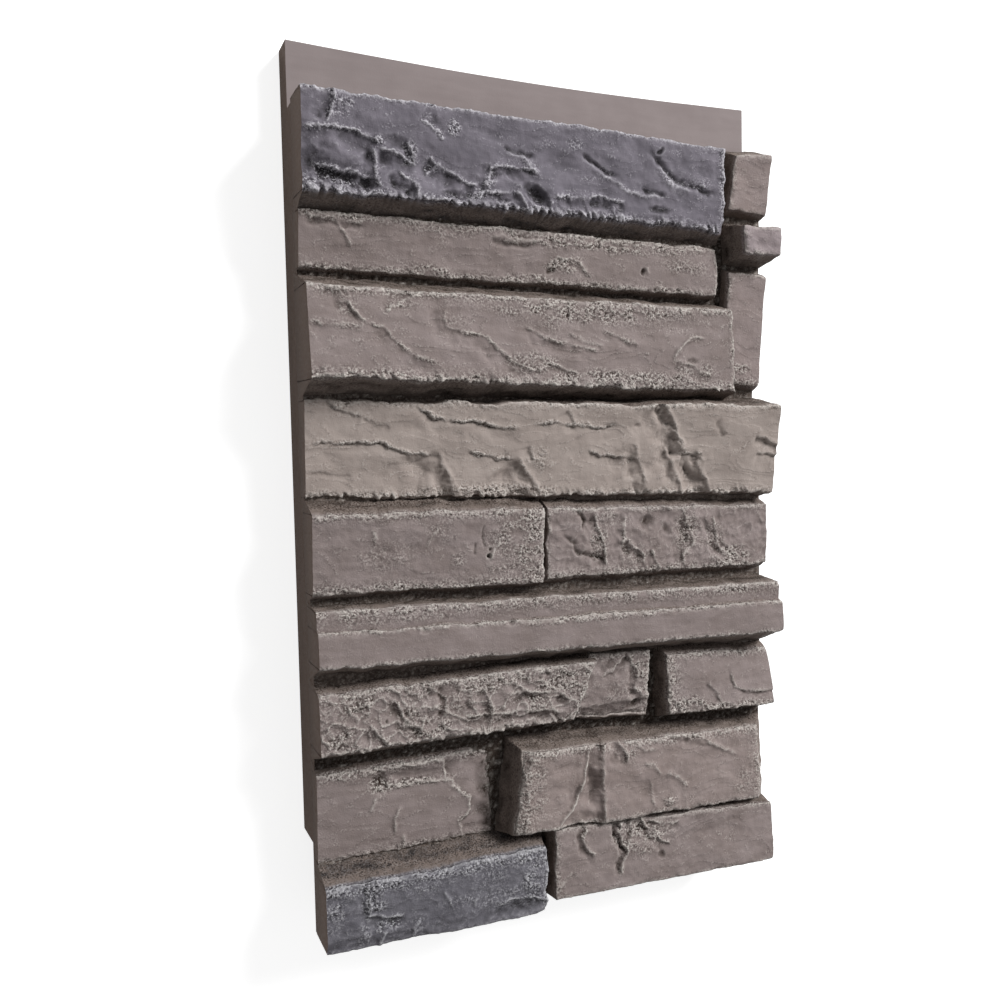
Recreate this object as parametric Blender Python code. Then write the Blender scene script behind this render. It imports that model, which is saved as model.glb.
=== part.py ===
"""A short length of faux stone wall panel, moulded in one piece of rigid foam.

The panel lies on its back: X runs along the wall, Y up the wall and Z out of the stone face.
The origin is the middle of the back. Sizes are in millimetres until MM turns them to metres.

The face is a bed of mortar joints with stones standing out of it. Each stone is a grid whose
middle is the split face and whose outer rows fall down the stone's four walls into the bed.
Stones, bed and nailing flange are fused into one solid, and the two ends are sawn off.
"""

import math
from collections import namedtuple

import bmesh
import bpy

MM = 0.001

# Length between the sawn ends, and how far these lean from square
PANEL_LENGTH = 238.7
END_LEAN = math.radians(1.03)
SAW_OVERRUN = 16.0

# Height of each course of stones with its joint, from the bottom course up
COURSES = {
    "ninth": 33.0,
    "eighth": 47.0,
    "seventh": 39.0,
    "sixth": 33.0,
    "fifth": 41.0,
    "fourth": 49.0,
    "third": 50.0,
    "second": 30.0,
    "first": 43.0,
}

# Nailing flange along the top edge
FLANGE_THICKNESS = 14.2
FLANGE_HEIGHT = 29.0
FLANGE_BOW = 2.6
FLANGE_STEPS = 12
PANEL_HEIGHT = sum(COURSES.values()) + FLANGE_HEIGHT

# Ship-lap rabbet along the bottom edge of the back
LAP_HEIGHT = 41.0
LAP_DEPTH = 19.0

# Stone walls and faces
ROOT_LEVEL = 9.0
ARRIS = 1.6
ARRIS_LEAN = 0.6
FACE_CELL_X = 9.0
FACE_CELL_Y = 8.0
EDGE_WAVE = 0.7
EDGE_WAVE_LENGTH = 6.3
SWELL_SHARE = 0.6
SWELL_LENGTH = 17.0
SWELL_HEIGHT = 8.0
RIPPLE_LENGTH = 7.5
RIPPLE_SLANT = 1.6

# Level of the mortar at the foot of each course, at the left and at the right end
BED_LEVELS = {
    "ninth": (26.0, 26.0),
    "eighth": (28.0, 27.0),
    "seventh": (27.0, 25.5),
    "sixth": (31.5, 27.0),
    "fifth": (29.5, 27.0),
    "fourth": (25.0, 27.0),
    "third": (29.0, 21.5),
    "second": (23.7, 26.0),
    "first": (29.5, 28.5),
}
BED_TOP_LEVELS = (26.0, 26.0)

PAST_LEFT = -SAW_OVERRUN
PAST_RIGHT = PANEL_LENGTH + SAW_OVERRUN

# A lower corner is (distance along, height above the course's foot, level of the face)
# An upper corner is (distance along, depth below the course's head, level of the face)
# Draft is how far each wall leans out for each millimetre that it falls: left, right, bottom, top
Stone = namedtuple("Stone", "name course low_left low_right high_right high_left draft relief paint")

STONES = (
    Stone("slate_top", "first", (PAST_LEFT, 3, 41.5), (204.5, 2.5, 38.5), (204.5, 0, 38), (PAST_LEFT, -1, 43),
          (0, 0.15, 0.5, 0.03), 1.1, "slate"),
    Stone("corner_top", "first", (209, 14, 35), (PAST_RIGHT, 13, 33.5), (PAST_RIGHT, 1, 38.5), (212, 2, 37),
          (0.1, 0, 0.3, 0.37), 0.5, "taupe"),
    Stone("second", "second", (PAST_LEFT, 2.5, 28), (203.5, 1, 33), (203.5, 5.5, 33.5), (PAST_LEFT, 3, 31),
          (0, 0.2, 0.2, 0.3), 0.8, "taupe"),
    Stone("corner_key", "second", (212.5, 22, 45), (PAST_RIGHT, 21, 45.5), (PAST_RIGHT, -5.5, 46.3),
          (210.5, -4.5, 46), (0.15, 0, 0.2, 0.2), 0.4, "taupe"),
    Stone("third", "third", (PAST_LEFT, 5, 48), (213, 4, 37), (211, 6, 36.5), (PAST_LEFT, 6, 41.5),
          (0, 0.1, 0.35, 0.35), 1.0, "taupe"),
    Stone("corner_low", "third", (211, 8, 27), (PAST_RIGHT, 7, 26.5), (PAST_RIGHT, -13, 33.5),
          (211, -13.5, 33), (0.15, 0, 0.5, 0.4), 0.6, "taupe"),
    Stone("fourth", "fourth", (PAST_LEFT, 3.5, 27.5), (PAST_RIGHT, 1.5, 34), (PAST_RIGHT, 4, 40),
          (PAST_LEFT, 4, 31), (0, 0, 0.2, 0.2), 0.9, "taupe"),
    Stone("fourth_step", "fourth", (148, 3, 33.5), (182, 2.5, 34.5), (174, 5.5, 41), (143, 5.5, 40),
          (0.8, 0, 0.2, 0.2), 0.6, "taupe"),
    Stone("fourth_end", "fourth", (184, 1.5, 36.5), (PAST_RIGHT, 1, 38), (PAST_RIGHT, 3.5, 45.5),
          (174, 5, 43), (0.5, 0, 0.2, 0.12), 0.7, "taupe"),
    Stone("fifth_left", "fifth", (PAST_LEFT, 2.5, 35.5), (105.5, 2.5, 37), (105.5, 3.5, 38),
          (PAST_LEFT, 3.5, 39.3), (0, 0.05, 0.35, 0.4), 0.8, "taupe"),
    Stone("fifth_right", "fifth", (108.5, 4, 35), (PAST_RIGHT, 4.5, 33), (PAST_RIGHT, 5.5, 33.2),
          (108.5, 4, 35), (0.05, 0, 0.5, 0.5), 1.0, "taupe"),
    Stone("sixth", "sixth", (PAST_LEFT, 6, 41), (PAST_RIGHT, 6, 43), (PAST_RIGHT, 3.5, 42.8),
          (PAST_LEFT, 3.5, 41.2), (0, 0, 0.5, 0.1), 0.5, "taupe"),
    Stone("sixth_ledge", "sixth", (PAST_LEFT, 5.2, 44.6), (PAST_RIGHT, 4.2, 46.6), (PAST_RIGHT, 13, 46.3),
          (PAST_LEFT, 12.5, 43.8), (0, 0, 0.4, 0.3), 0.4, "taupe"),
    Stone("seventh_left", "seventh", (PAST_LEFT, 6.5, 43), (120.5, 8.8, 40), (132, 3, 40),
          (PAST_LEFT, 6.5, 41), (0, 0.3, 0.35, 0.2), 1.0, "taupe"),
    Stone("seventh_mid", "seventh", (122, 8, 36.3), (163.5, 5.5, 36.5), (163, 0.7, 37), (130, 0.7, 36.8),
          (0.1, 0.15, 0.3, 0.2), 0.8, "taupe"),
    Stone("seventh_right", "seventh", (174, 4.5, 38.5), (PAST_RIGHT, 4, 40), (PAST_RIGHT, 7, 32.5),
          (172, 4, 38), (0.15, 0, 0.3, 0.5), 0.9, "taupe"),
    Stone("eighth_left", "eighth", (PAST_LEFT, 1.2, 28.5), (82, 4, 29.3), (80, 3, 29), (PAST_LEFT, 5, 31.5),
          (0, 0.3, 0.3, 0.5), 0.7, "taupe"),
    Stone("eighth_right", "eighth", (88, 6, 45), (230, 1.8, 38), (228, 7, 37), (93, 3, 45),
          (0.22, 0.9, 0.15, 0.25), 1.2, "taupe"),
    Stone("slate_low", "ninth", (PAST_LEFT, 0, 44), (104, 0, 44), (104, 1.5, 44), (PAST_LEFT, 4.5, 43.5),
          (0, 0.1, 0, 0.35), 0.8, "slate"),
    Stone("ninth_right", "ninth", (109.5, 3.5, 42), (PAST_RIGHT, 0.5, 38), (PAST_RIGHT, 2.5, 36),
          (109.5, -4.5, 41), (0.1, 0, 0, 0.3), 1.0, "taupe"),
)

PAINTS = {
    "taupe": ((0.218, 0.188, 0.171, 1.0), 0.62),
    "slate": ((0.127, 0.123, 0.147, 1.0), 0.55),
}


def make_paint(name):
    """A matte painted finish, by its name in PAINTS."""
    colour, roughness = PAINTS[name]
    material = bpy.data.materials.new(name + "_paint")
    material.use_nodes = True
    shader = material.node_tree.nodes["Principled BSDF"]
    shader.inputs["Base Color"].default_value = colour
    shader.inputs["Roughness"].default_value = roughness
    shader.inputs["Metallic"].default_value = 0.0
    material.diffuse_color = colour
    return material


def make_collection(name):
    collection = bpy.data.collections.new(name)
    bpy.context.scene.collection.children.link(collection)
    return collection


def make_object(name, bm, collection, material=None):
    """Turn a bmesh in millimetres into an object in metres, centred on the panel."""
    middle = ((PANEL_LENGTH / math.cos(END_LEAN) - PANEL_HEIGHT * math.tan(END_LEAN)) / 2, PANEL_HEIGHT / 2)
    bmesh.ops.translate(bm, vec=(-middle[0], -middle[1], 0.0), verts=bm.verts)
    bmesh.ops.scale(bm, vec=(MM, MM, MM), verts=bm.verts)
    bmesh.ops.recalc_face_normals(bm, faces=bm.faces)
    mesh = bpy.data.meshes.new(name)
    bm.to_mesh(mesh)
    bm.free()
    item = bpy.data.objects.new(name, mesh)
    if material:
        mesh.materials.append(material)
    collection.objects.link(item)
    return item


def make_box(name, low, high, collection, turn=0.0):
    """A box from corner low to corner high, leaning by turn about the panel's bottom left corner."""
    bm = bmesh.new()
    bmesh.ops.create_cube(bm, size=1.0)
    size = [top - base for base, top in zip(low, high)]
    centre = [(top + base) / 2 for base, top in zip(low, high)]
    bmesh.ops.scale(bm, vec=size, verts=bm.verts)
    bmesh.ops.translate(bm, vec=centre, verts=bm.verts)
    for vert in bm.verts:
        along, up = vert.co.x, vert.co.y
        vert.co.x = along * math.cos(turn) - up * math.sin(turn)
        vert.co.y = along * math.sin(turn) + up * math.cos(turn)
    return make_object(name, bm, collection)


def mix(start, end, share):
    return start + (end - start) * share


def close_below(bm, level):
    """Drop a skirt from the rim of an open sheet to a flat base at a level, and close the base."""
    rim = [edge for edge in bm.edges if edge.is_boundary]
    skirt = bmesh.ops.extrude_edge_only(bm, edges=rim)["geom"]
    for vert in (item for item in skirt if isinstance(item, bmesh.types.BMVert)):
        vert.co.z = level
    base = [edge for edge in bm.edges if edge.is_boundary]
    bmesh.ops.contextual_create(bm, geom=base)


def make_bed(collection, material):
    """The slab under the stones: its front rises and falls with the joints, its back is flat."""
    levels = list(BED_LEVELS.values()) + [BED_TOP_LEVELS]
    heights = [0.0]
    for course_height in COURSES.values():
        heights.append(heights[-1] + course_height)
    bm = bmesh.new()
    bmesh.ops.create_grid(bm, x_segments=1, y_segments=len(COURSES), size=0.5)
    for vert in bm.verts:
        row = round((vert.co.y + 0.5) * len(COURSES))
        at_right = vert.co.x > 0
        vert.co = (PAST_RIGHT if at_right else PAST_LEFT, heights[row], levels[row][at_right])
    close_below(bm, 0.0)
    return make_object("stone_panel", bm, collection, material)


def make_flange(collection, material):
    """The flat nailing flange, whose top edge sags a little in the middle."""
    bm = bmesh.new()
    bmesh.ops.create_grid(bm, x_segments=FLANGE_STEPS, y_segments=1, size=0.5)
    for vert in bm.verts:
        along = mix(PAST_LEFT, PAST_RIGHT, vert.co.x + 0.5)
        edge = PANEL_HEIGHT - max(0.0, FLANGE_BOW * math.sin(math.pi * along / PANEL_LENGTH))
        foot = PANEL_HEIGHT - FLANGE_HEIGHT - ARRIS
        vert.co = (along, edge if vert.co.y > 0 else foot, FLANGE_THICKNESS)
    bmesh.ops.dissolve_faces(bm, faces=bm.faces)
    close_below(bm, 0.0)
    return make_object("flange", bm, collection, material)


def split_relief(along, up, seed):
    """Low swells of a split stone face, from -1 to 1: two crossed waves and a slanting one.

    The stone's number shifts each wave by its own step, so that no two faces are alike.
    """
    swell = math.sin(along / SWELL_LENGTH + 2.1 * seed) * math.cos(up / SWELL_HEIGHT + 1.7 * seed)
    ripple = math.sin((along + RIPPLE_SLANT * up) / RIPPLE_LENGTH + 3.3 * seed)
    return SWELL_SHARE * swell + (1 - SWELL_SHARE) * ripple


def face_corners(stone):
    """The four corners of a stone's face in the panel, from the foot and head of its course."""
    foot = 0.0
    for name, course_height in COURSES.items():
        if name == stone.course:
            break
        foot += course_height
    head = foot + COURSES[stone.course]
    low = [(along, foot + rise, level) for along, rise, level in (stone.low_left, stone.low_right)]
    high = [(along, head - drop, level) for along, drop, level in (stone.high_left, stone.high_right)]
    return low, high


def make_stone(stone, seed, collection, material):
    """One stone: a split face with a worn arris, and four drafted walls down to its root.

    The grid has two more rows than the face on every side. The first lies one arris out and
    down from the face's edge, and the last lies on the root level, out by the wall's draft.
    """
    low, high = face_corners(stone)
    cells_x = max(2, round((low[1][0] - low[0][0]) / FACE_CELL_X))
    cells_y = max(2, round((high[0][1] - low[0][1]) / FACE_CELL_Y))
    bm = bmesh.new()
    bmesh.ops.create_grid(bm, x_segments=cells_x + 4, y_segments=cells_y + 4, size=0.5)
    for vert in bm.verts:
        column = round((vert.co.x + 0.5) * (cells_x + 4)) - 2
        row = round((vert.co.y + 0.5) * (cells_y + 4)) - 2
        share_x = min(max(column / cells_x, 0.0), 1.0)
        share_y = min(max(row / cells_y, 0.0), 1.0)
        lower = [mix(a, b, share_x) for a, b in zip(*low)]
        upper = [mix(a, b, share_x) for a, b in zip(*high)]
        along, up, level = (mix(a, b, share_y) for a, b in zip(lower, upper))
        level += stone.relief * split_relief(along, up, seed)
        side_x = (column > cells_x) - (column < 0)
        side_y = (row > cells_y) - (row < 0)
        draft_x = stone.draft[side_x > 0]
        draft_y = stone.draft[2 + (side_y > 0)]
        if share_y in (0.0, 1.0) and draft_y > 0:
            up += EDGE_WAVE * math.sin(along / EDGE_WAVE_LENGTH + 1.3 * seed + 2.0 * share_y)
        ring = max(-column, column - cells_x, -row, row - cells_y, 0)
        if ring == 0:
            vert.co = (along, up, level)
            continue
        fall = level - ROOT_LEVEL if ring == 2 else 0.0
        along += side_x * (ARRIS_LEAN * ARRIS * (draft_x > 0) + draft_x * fall)
        up += side_y * (ARRIS_LEAN * ARRIS * (draft_y > 0) + draft_y * fall)
        vert.co = (along, up, ROOT_LEVEL if ring == 2 else level - ARRIS)
    bmesh.ops.contextual_create(bm, geom=[edge for edge in bm.edges if edge.is_boundary])
    return make_object(stone.name, bm, collection, material)


def combine(body, tools, operation):
    """Fuse a collection of tools with the body, or cut them away, in one exact Boolean."""
    for tool in tools.objects:
        tool.hide_render = True
        tool.display_type = "WIRE"
    step = body.modifiers.new(operation.lower() + "_" + tools.name, "BOOLEAN")
    step.operation = operation
    step.solver = "EXACT"
    step.material_mode = "TRANSFER"
    step.operand_type = "COLLECTION"
    step.collection = tools


def build_panel():
    parts = make_collection("faux_stone_wall_panel")
    reliefs = make_collection("moulded_reliefs")
    cutters = make_collection("saws_and_lap")
    paints = {name: make_paint(name) for name in PAINTS}
    panel = make_bed(parts, paints["taupe"])
    make_flange(reliefs, paints["taupe"])
    for seed, stone in enumerate(STONES):
        make_stone(stone, seed, reliefs, paints[stone.paint])
    combine(panel, reliefs, "UNION")

    reach = PANEL_HEIGHT + PANEL_LENGTH
    make_box("lap_cutter", (-reach, -reach, -reach), (reach, LAP_HEIGHT, LAP_DEPTH), cutters)
    make_box("left_saw", (-reach, -reach, -reach), (0.0, reach, reach), cutters, END_LEAN)
    make_box("right_saw", (PANEL_LENGTH, -reach, -reach), (reach, reach, reach), cutters, END_LEAN)
    combine(panel, cutters, "DIFFERENCE")


for leftover in list(bpy.data.objects):
    bpy.data.objects.remove(leftover)
build_panel()
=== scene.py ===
"""The looks of a short length of moulded faux stone wall panel, lying on its back.

Lengths below are in millimetres, measured as on the panel: along it from the lower left corner, up it
from the bottom edge, and out from the flat back. place() turns them to metres in the panel's frame.
"""
import itertools
import math
from collections import namedtuple

import bpy
import numpy as np
from mathutils import Euler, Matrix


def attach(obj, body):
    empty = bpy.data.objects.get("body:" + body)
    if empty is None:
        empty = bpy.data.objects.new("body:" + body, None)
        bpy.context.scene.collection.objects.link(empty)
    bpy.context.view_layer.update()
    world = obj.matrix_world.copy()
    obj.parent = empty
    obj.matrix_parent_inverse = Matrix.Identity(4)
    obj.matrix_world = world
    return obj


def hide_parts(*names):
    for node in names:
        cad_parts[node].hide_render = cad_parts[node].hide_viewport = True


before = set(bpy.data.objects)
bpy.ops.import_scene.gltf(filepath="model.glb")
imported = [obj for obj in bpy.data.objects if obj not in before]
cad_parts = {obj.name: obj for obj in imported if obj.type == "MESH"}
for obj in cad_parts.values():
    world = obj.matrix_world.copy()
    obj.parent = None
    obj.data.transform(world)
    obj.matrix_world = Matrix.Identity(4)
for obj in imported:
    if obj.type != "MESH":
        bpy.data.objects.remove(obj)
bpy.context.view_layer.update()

# The moulded slab
# One casting of rigid foam. It has a flat back with a lap rabbet, a bed of sunken mortar joints in
# front, and a smooth nailing flange along the top, and it is sawn off flat at both ends.
PANEL_LENGTH = 238.7
END_LEAN = math.radians(1.03)
COURSES = (33.0, 47.0, 39.0, 33.0, 41.0, 49.0, 50.0, 30.0, 43.0)
BED_LEFT = (26.0, 28.0, 27.0, 31.5, 29.5, 25.0, 29.0, 23.7, 29.5, 26.0)
BED_RIGHT = (26.0, 27.0, 25.5, 27.0, 27.0, 27.0, 21.5, 26.0, 28.5, 26.0)
FLANGE_THICKNESS = 14.2
FLANGE_HEIGHT = 29.0
FLANGE_BOW = 2.6
LAP_HEIGHT = 41.0
LAP_DEPTH = 19.0
BED_CELL = 1.0
JOINT_REACH, JOINT_ROW, PLAIN_ROW = 7.0, 0.8, 1.7
CRUMB_HEIGHT = 0.55
# How dark the bed is at each joint from the foot up, a dark wash with painted shade, and the gaps
# between stones where painted shade is darkest, as x, y and how far it reaches along both.
BED_WASH_AND_SHADE = (0.6, 0.5, 1.0, 0.4, 0.55, 0.05, 0.6, 0.75, 0.65, 0.4)
GAP_SHADE = (
    (86.0, 60.0, 8.0, 24.0),
    (168.5, 100.0, 6.0, 20.0),
    (208.0, 300.0, 4.0, 45.0),
    (106.5, 14.0, 3.5, 22.0),
)
COURSE_FEET = np.concatenate([[0.0], np.cumsum(COURSES)])
BED_TOP = COURSE_FEET[-1]
PANEL_TOP = BED_TOP + FLANGE_HEIGHT
LEAN = math.tan(END_LEAN)
SAWN_SPAN = PANEL_LENGTH / math.cos(END_LEAN)
MIDDLE = np.array([(SAWN_SPAN - PANEL_TOP * LEAN) / 2, PANEL_TOP / 2, 0.0])
MM = 0.001


def place(points):
    """Panel millimetres to frame metres: take the middle of the back away, then divide by 1000."""
    return (points - MIDDLE) * MM


def scatter(cells, seed):
    """A number from 0 to 1 for each lattice cell: its coordinates times big odd numbers, scrambled."""
    key = cells[..., 0] * 374761393 + cells[..., 1] * 668265263 + cells[..., 2] * 700001269
    key = (key + seed * 974711) & 0xFFFFFFFF
    key = ((key ^ (key >> 13)) * 1274126177) & 0xFFFFFFFF
    return ((key ^ (key >> 16)) & 0xFFFFFF) / 0xFFFFFF


def soft_noise(points, size, seed):
    """Smooth noise, about -1 to 1: random slopes at lattice corners, faded by 6t^5 - 15t^4 + 10t^3."""
    scaled = points / np.asarray(size, float)
    base = np.floor(scaled).astype(np.int64)
    part = scaled - base
    fade = part ** 3 * (part * (part * 6 - 15) + 10)
    total = np.zeros(points.shape[:-1])
    for corner in itertools.product((0, 1), repeat=3):
        offset = np.array(corner)
        slope = np.stack([scatter(base + offset, seed + axis) for axis in range(3)], -1) * 2 - 1
        height = (slope * (part - offset)).sum(-1)
        total += height * np.where(offset == 1, fade, 1 - fade).prod(-1)
    return total * 1.6


def grid_mesh(name, points, closed_ring=False, ring_faces=()):
    """A mesh over a grid of points: a face between each four neighbours, and whole-ring end faces."""
    rows, columns = points.shape[:2]
    index = np.arange(rows * columns).reshape(rows, columns)
    if closed_ring:
        index = np.vstack([index, index[:1]])
    low_left, low_right = index[:-1, :-1], index[:-1, 1:]
    high_left, high_right = index[1:, :-1], index[1:, 1:]
    quads = np.stack([low_left, low_right, high_right, high_left], -1).reshape(-1, 4)
    mesh = bpy.data.meshes.new(name)
    mesh.from_pydata(place(points).reshape(-1, 3).tolist(), [], quads.tolist() + list(ring_faces))
    mesh.shade_smooth()
    piece = bpy.data.objects.new(name, mesh)
    bpy.context.scene.collection.objects.link(piece)
    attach(piece, "root")
    return piece


def store(piece, name, values):
    """Keep one number for each point of a piece, for its material to read."""
    attribute = piece.data.attributes.new(name, "FLOAT", "POINT")
    attribute.data.foreach_set("value", np.ascontiguousarray(values, dtype=np.float32).ravel())


def sharpen(piece, columns, rows=(), edge_columns=()):
    """Mark as sharp the grid lines that are real corners: whole rows and whole columns."""
    mesh = piece.data
    ends = np.zeros(len(mesh.edges) * 2, np.int64)
    mesh.edges.foreach_get("vertices", ends)
    first, last = ends.reshape(-1, 2).T
    same_row = first // columns == last // columns
    same_column = first % columns == last % columns
    sharp = same_row & np.isin(first // columns, rows)
    sharp |= same_column & np.isin(first % columns, edge_columns)
    mesh.attributes.new("sharp_edge", "BOOLEAN", "EDGE").data.foreach_set("value", sharp)


def soften(field, reach):
    """The average of a grid of points over a square of cells, taken twice, by running sums."""
    for axis in (0, 1, 0, 1):
        padding = [(reach + 1, reach) if axis == side else (0, 0) for side in range(field.ndim)]
        sums = np.cumsum(np.pad(field, padding, mode="edge"), axis=axis)
        width = 2 * reach + 1
        high = np.take(sums, range(width, sums.shape[axis]), axis=axis)
        low = np.take(sums, range(0, sums.shape[axis] - width), axis=axis)
        field = (high - low) / width
    return field


def bulge(points, reach):
    """How far each point stands out from the average of its neighbours, along the surface's normal."""
    across = np.gradient(points, axis=1)
    upwards = np.gradient(points, axis=0)
    normal = np.cross(across, upwards)
    normal /= np.maximum(np.linalg.norm(normal, axis=-1, keepdims=True), 1e-9)
    return ((points - soften(points, reach)) * normal).sum(-1)


def run(start, end, spacing):
    """Evenly spaced values from start up to, but without, end."""
    count = max(1, round(abs(end - start) / spacing))
    return np.linspace(start, end, count, endpoint=False)


def slab_profile():
    """The slab's outline seen from its end, as heights, levels and which stretch each row is in.

    The bed's rows are closer together near the joints, where the bed can be seen.
    """
    heights = [BED_TOP]
    while heights[-1] > 0.0:
        near_joint = np.abs(COURSE_FEET - heights[-1] + 1.0).min() < JOINT_REACH
        heights.append(heights[-1] - (JOINT_ROW if near_joint else PLAIN_ROW))
    heights[-1] = 0.0
    heights = np.array(heights)
    stretches = [
        ("back", run(LAP_HEIGHT, PANEL_TOP, 9.0), 0.0),
        ("top", PANEL_TOP, run(0.0, FLANGE_THICKNESS, 1.5)),
        ("flange", run(PANEL_TOP, BED_TOP, 1.4), FLANGE_THICKNESS),
        ("head", BED_TOP, run(FLANGE_THICKNESS, BED_LEFT[-1], 3.0)),
        ("bed", heights, np.nan),
        ("foot", 0.0, run(BED_LEFT[0] - 1.0, LAP_DEPTH, 1.5)),
        ("lap", run(0.0, LAP_HEIGHT, 3.0), LAP_DEPTH),
        ("shoulder", LAP_HEIGHT, run(LAP_DEPTH, 0.0, 3.0)),
    ]
    up, out, kind = [], [], []
    for name, height, level in reversed(stretches):
        height, level = np.broadcast_arrays(np.atleast_1d(height), np.atleast_1d(level))
        up.append(height[::-1])
        out.append(level[::-1])
        kind.extend([name] * len(height))
    return np.concatenate(up), np.concatenate(out), np.array(kind)


up, out, kind = slab_profile()
share = np.linspace(0.0, 1.0, round(PANEL_LENGTH / BED_CELL) + 1)[None, :]
up = np.repeat(up[:, None], share.shape[1], 1)
sag = FLANGE_BOW * np.sin(math.pi * share)
flange_share = np.clip((up - BED_TOP) / FLANGE_HEIGHT, 0.0, 1.0)
up = up - sag * flange_share
along = share * SAWN_SPAN - up * LEAN
left_level = np.interp(up, COURSE_FEET, BED_LEFT)
right_level = np.interp(up, COURSE_FEET, BED_RIGHT)
bed_level = left_level + (right_level - left_level) * share
is_bed = (kind == "bed")[:, None]
slab = np.stack([along, up, np.where(is_bed, bed_level, out[:, None])], -1)
flat = slab * (1.0, 1.0, 0.0)
lumps = soft_noise(flat, (2.6, 2.0, 1.0), 11) + 0.7 * soft_noise(flat, 1.4, 21)
crumbs = lumps + 0.9 * np.abs(soft_noise(flat, (9.0, 5.0, 1.0), 31)) + 0.8 * soft_noise(flat, 14.0, 32)
# The crumbs fade out towards the sawn ends, the foot and the flange, so that those edges stay straight.
inside = np.clip(np.minimum(share, 1 - share) * PANEL_LENGTH / 1.5, 0, 1)
inside = inside * np.clip(up / 2.0, 0, 1) * np.clip((BED_TOP - up) / 2.0, 0, 1)
slab[..., 2] += np.where(is_bed, CRUMB_HEIGHT * crumbs * inside, 0.0)
slab[..., 2] += np.where((kind == "flange")[:, None], 0.12 * soft_noise(flat, (26.0, 12.0, 9.0), 41), 0.0)
columns = share.shape[1]
ring = np.arange(len(kind)) * columns
slab_piece = grid_mesh("moulded_slab", slab, True, [ring.tolist(), (ring + columns - 1)[::-1].tolist()])
corner_rows = [row for row in range(len(kind)) if kind[row] != kind[(row + 1) % len(kind)]]
sharpen(slab_piece, columns, corner_rows, (0, columns - 1))
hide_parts("stone_panel")
# The bed's dark wash with painted shade, and more painted shade in the gaps between stones.
bed_wash_and_shade = np.interp(up, COURSE_FEET, BED_WASH_AND_SHADE) - 0.4 * soft_noise(flat, 2.0, 51)
for gap_x, gap_y, reach_x, reach_y in GAP_SHADE:
    radius = ((slab[..., 0] - gap_x) / reach_x) ** 2 + ((up - gap_y) / reach_y) ** 2
    bed_wash_and_shade += 0.9 * np.exp(-radius ** 2)
store(slab_piece, "crevice", np.where(is_bed, np.clip(bed_wash_and_shade, 0, 1), 0.0))
store(slab_piece, "ridge", np.where(is_bed, np.clip(bulge(slab, 1) * 2.0 - 0.1, 0, 1), 0.0))
pitted = (0.3 + 0.7 * np.clip(bed_wash_and_shade, 0, 1)) * np.clip(0.9 + soft_noise(flat, 9.0, 52), 0, 1)
store(slab_piece, "crumbly", np.where(is_bed, pitted, 0.0))
# Where the bed is washed and shaded it takes the darker wall paint, so that too is partly painted shade.
store(slab_piece, "sunk", np.where(is_bed, np.clip(1.3 * bed_wash_and_shade, 0, 1), 0.0))


def linear(red, green, blue):
    """A colour from 0 to 255, as seen, to the linear shares that a shader takes."""
    seen = np.array([red, green, blue]) / 255
    shares = np.where(seen < 0.04045, seen / 12.92, ((seen + 0.055) / 1.055) ** 2.4)
    return (*shares.tolist(), 1.0)


def add_node(tree, kind, **settings):
    """A new node, set out in columns of six as the nodes come."""
    column, row = divmod(len(tree.nodes), 6)
    node = tree.nodes.new(kind)
    node.location = (220 * column - 1200, 500 - 220 * row)
    for name, value in settings.items():
        setattr(node, name, value)
    return node


def maths(tree, operation, *operands, clamp=False):
    """The result of a Math node. Each operand is a number or an output socket."""
    node = add_node(tree, "ShaderNodeMath", operation=operation, use_clamp=clamp)
    for socket, operand in zip(node.inputs, operands):
        if isinstance(operand, (int, float)):
            socket.default_value = operand
        else:
            tree.links.new(operand, socket)
    return node.outputs[0]


def noise(tree, vector, scale, detail):
    """Noise from 0 to 1, by metres of the object's own space."""
    node = add_node(tree, "ShaderNodeTexNoise")
    node.inputs["Scale"].default_value = scale
    node.inputs["Detail"].default_value = detail
    tree.links.new(vector, node.inputs["Vector"])
    return node.outputs["Fac"]


def colour_mix(tree, share_socket, first, second):
    """The first colour where the share is 0, and the second where it is 1."""
    node = add_node(tree, "ShaderNodeMix", data_type="RGBA")
    tree.links.new(share_socket, node.inputs["Factor"])
    tree.links.new(first, node.inputs["A"])
    tree.links.new(second, node.inputs["B"])
    return node.outputs["Result"]


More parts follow.
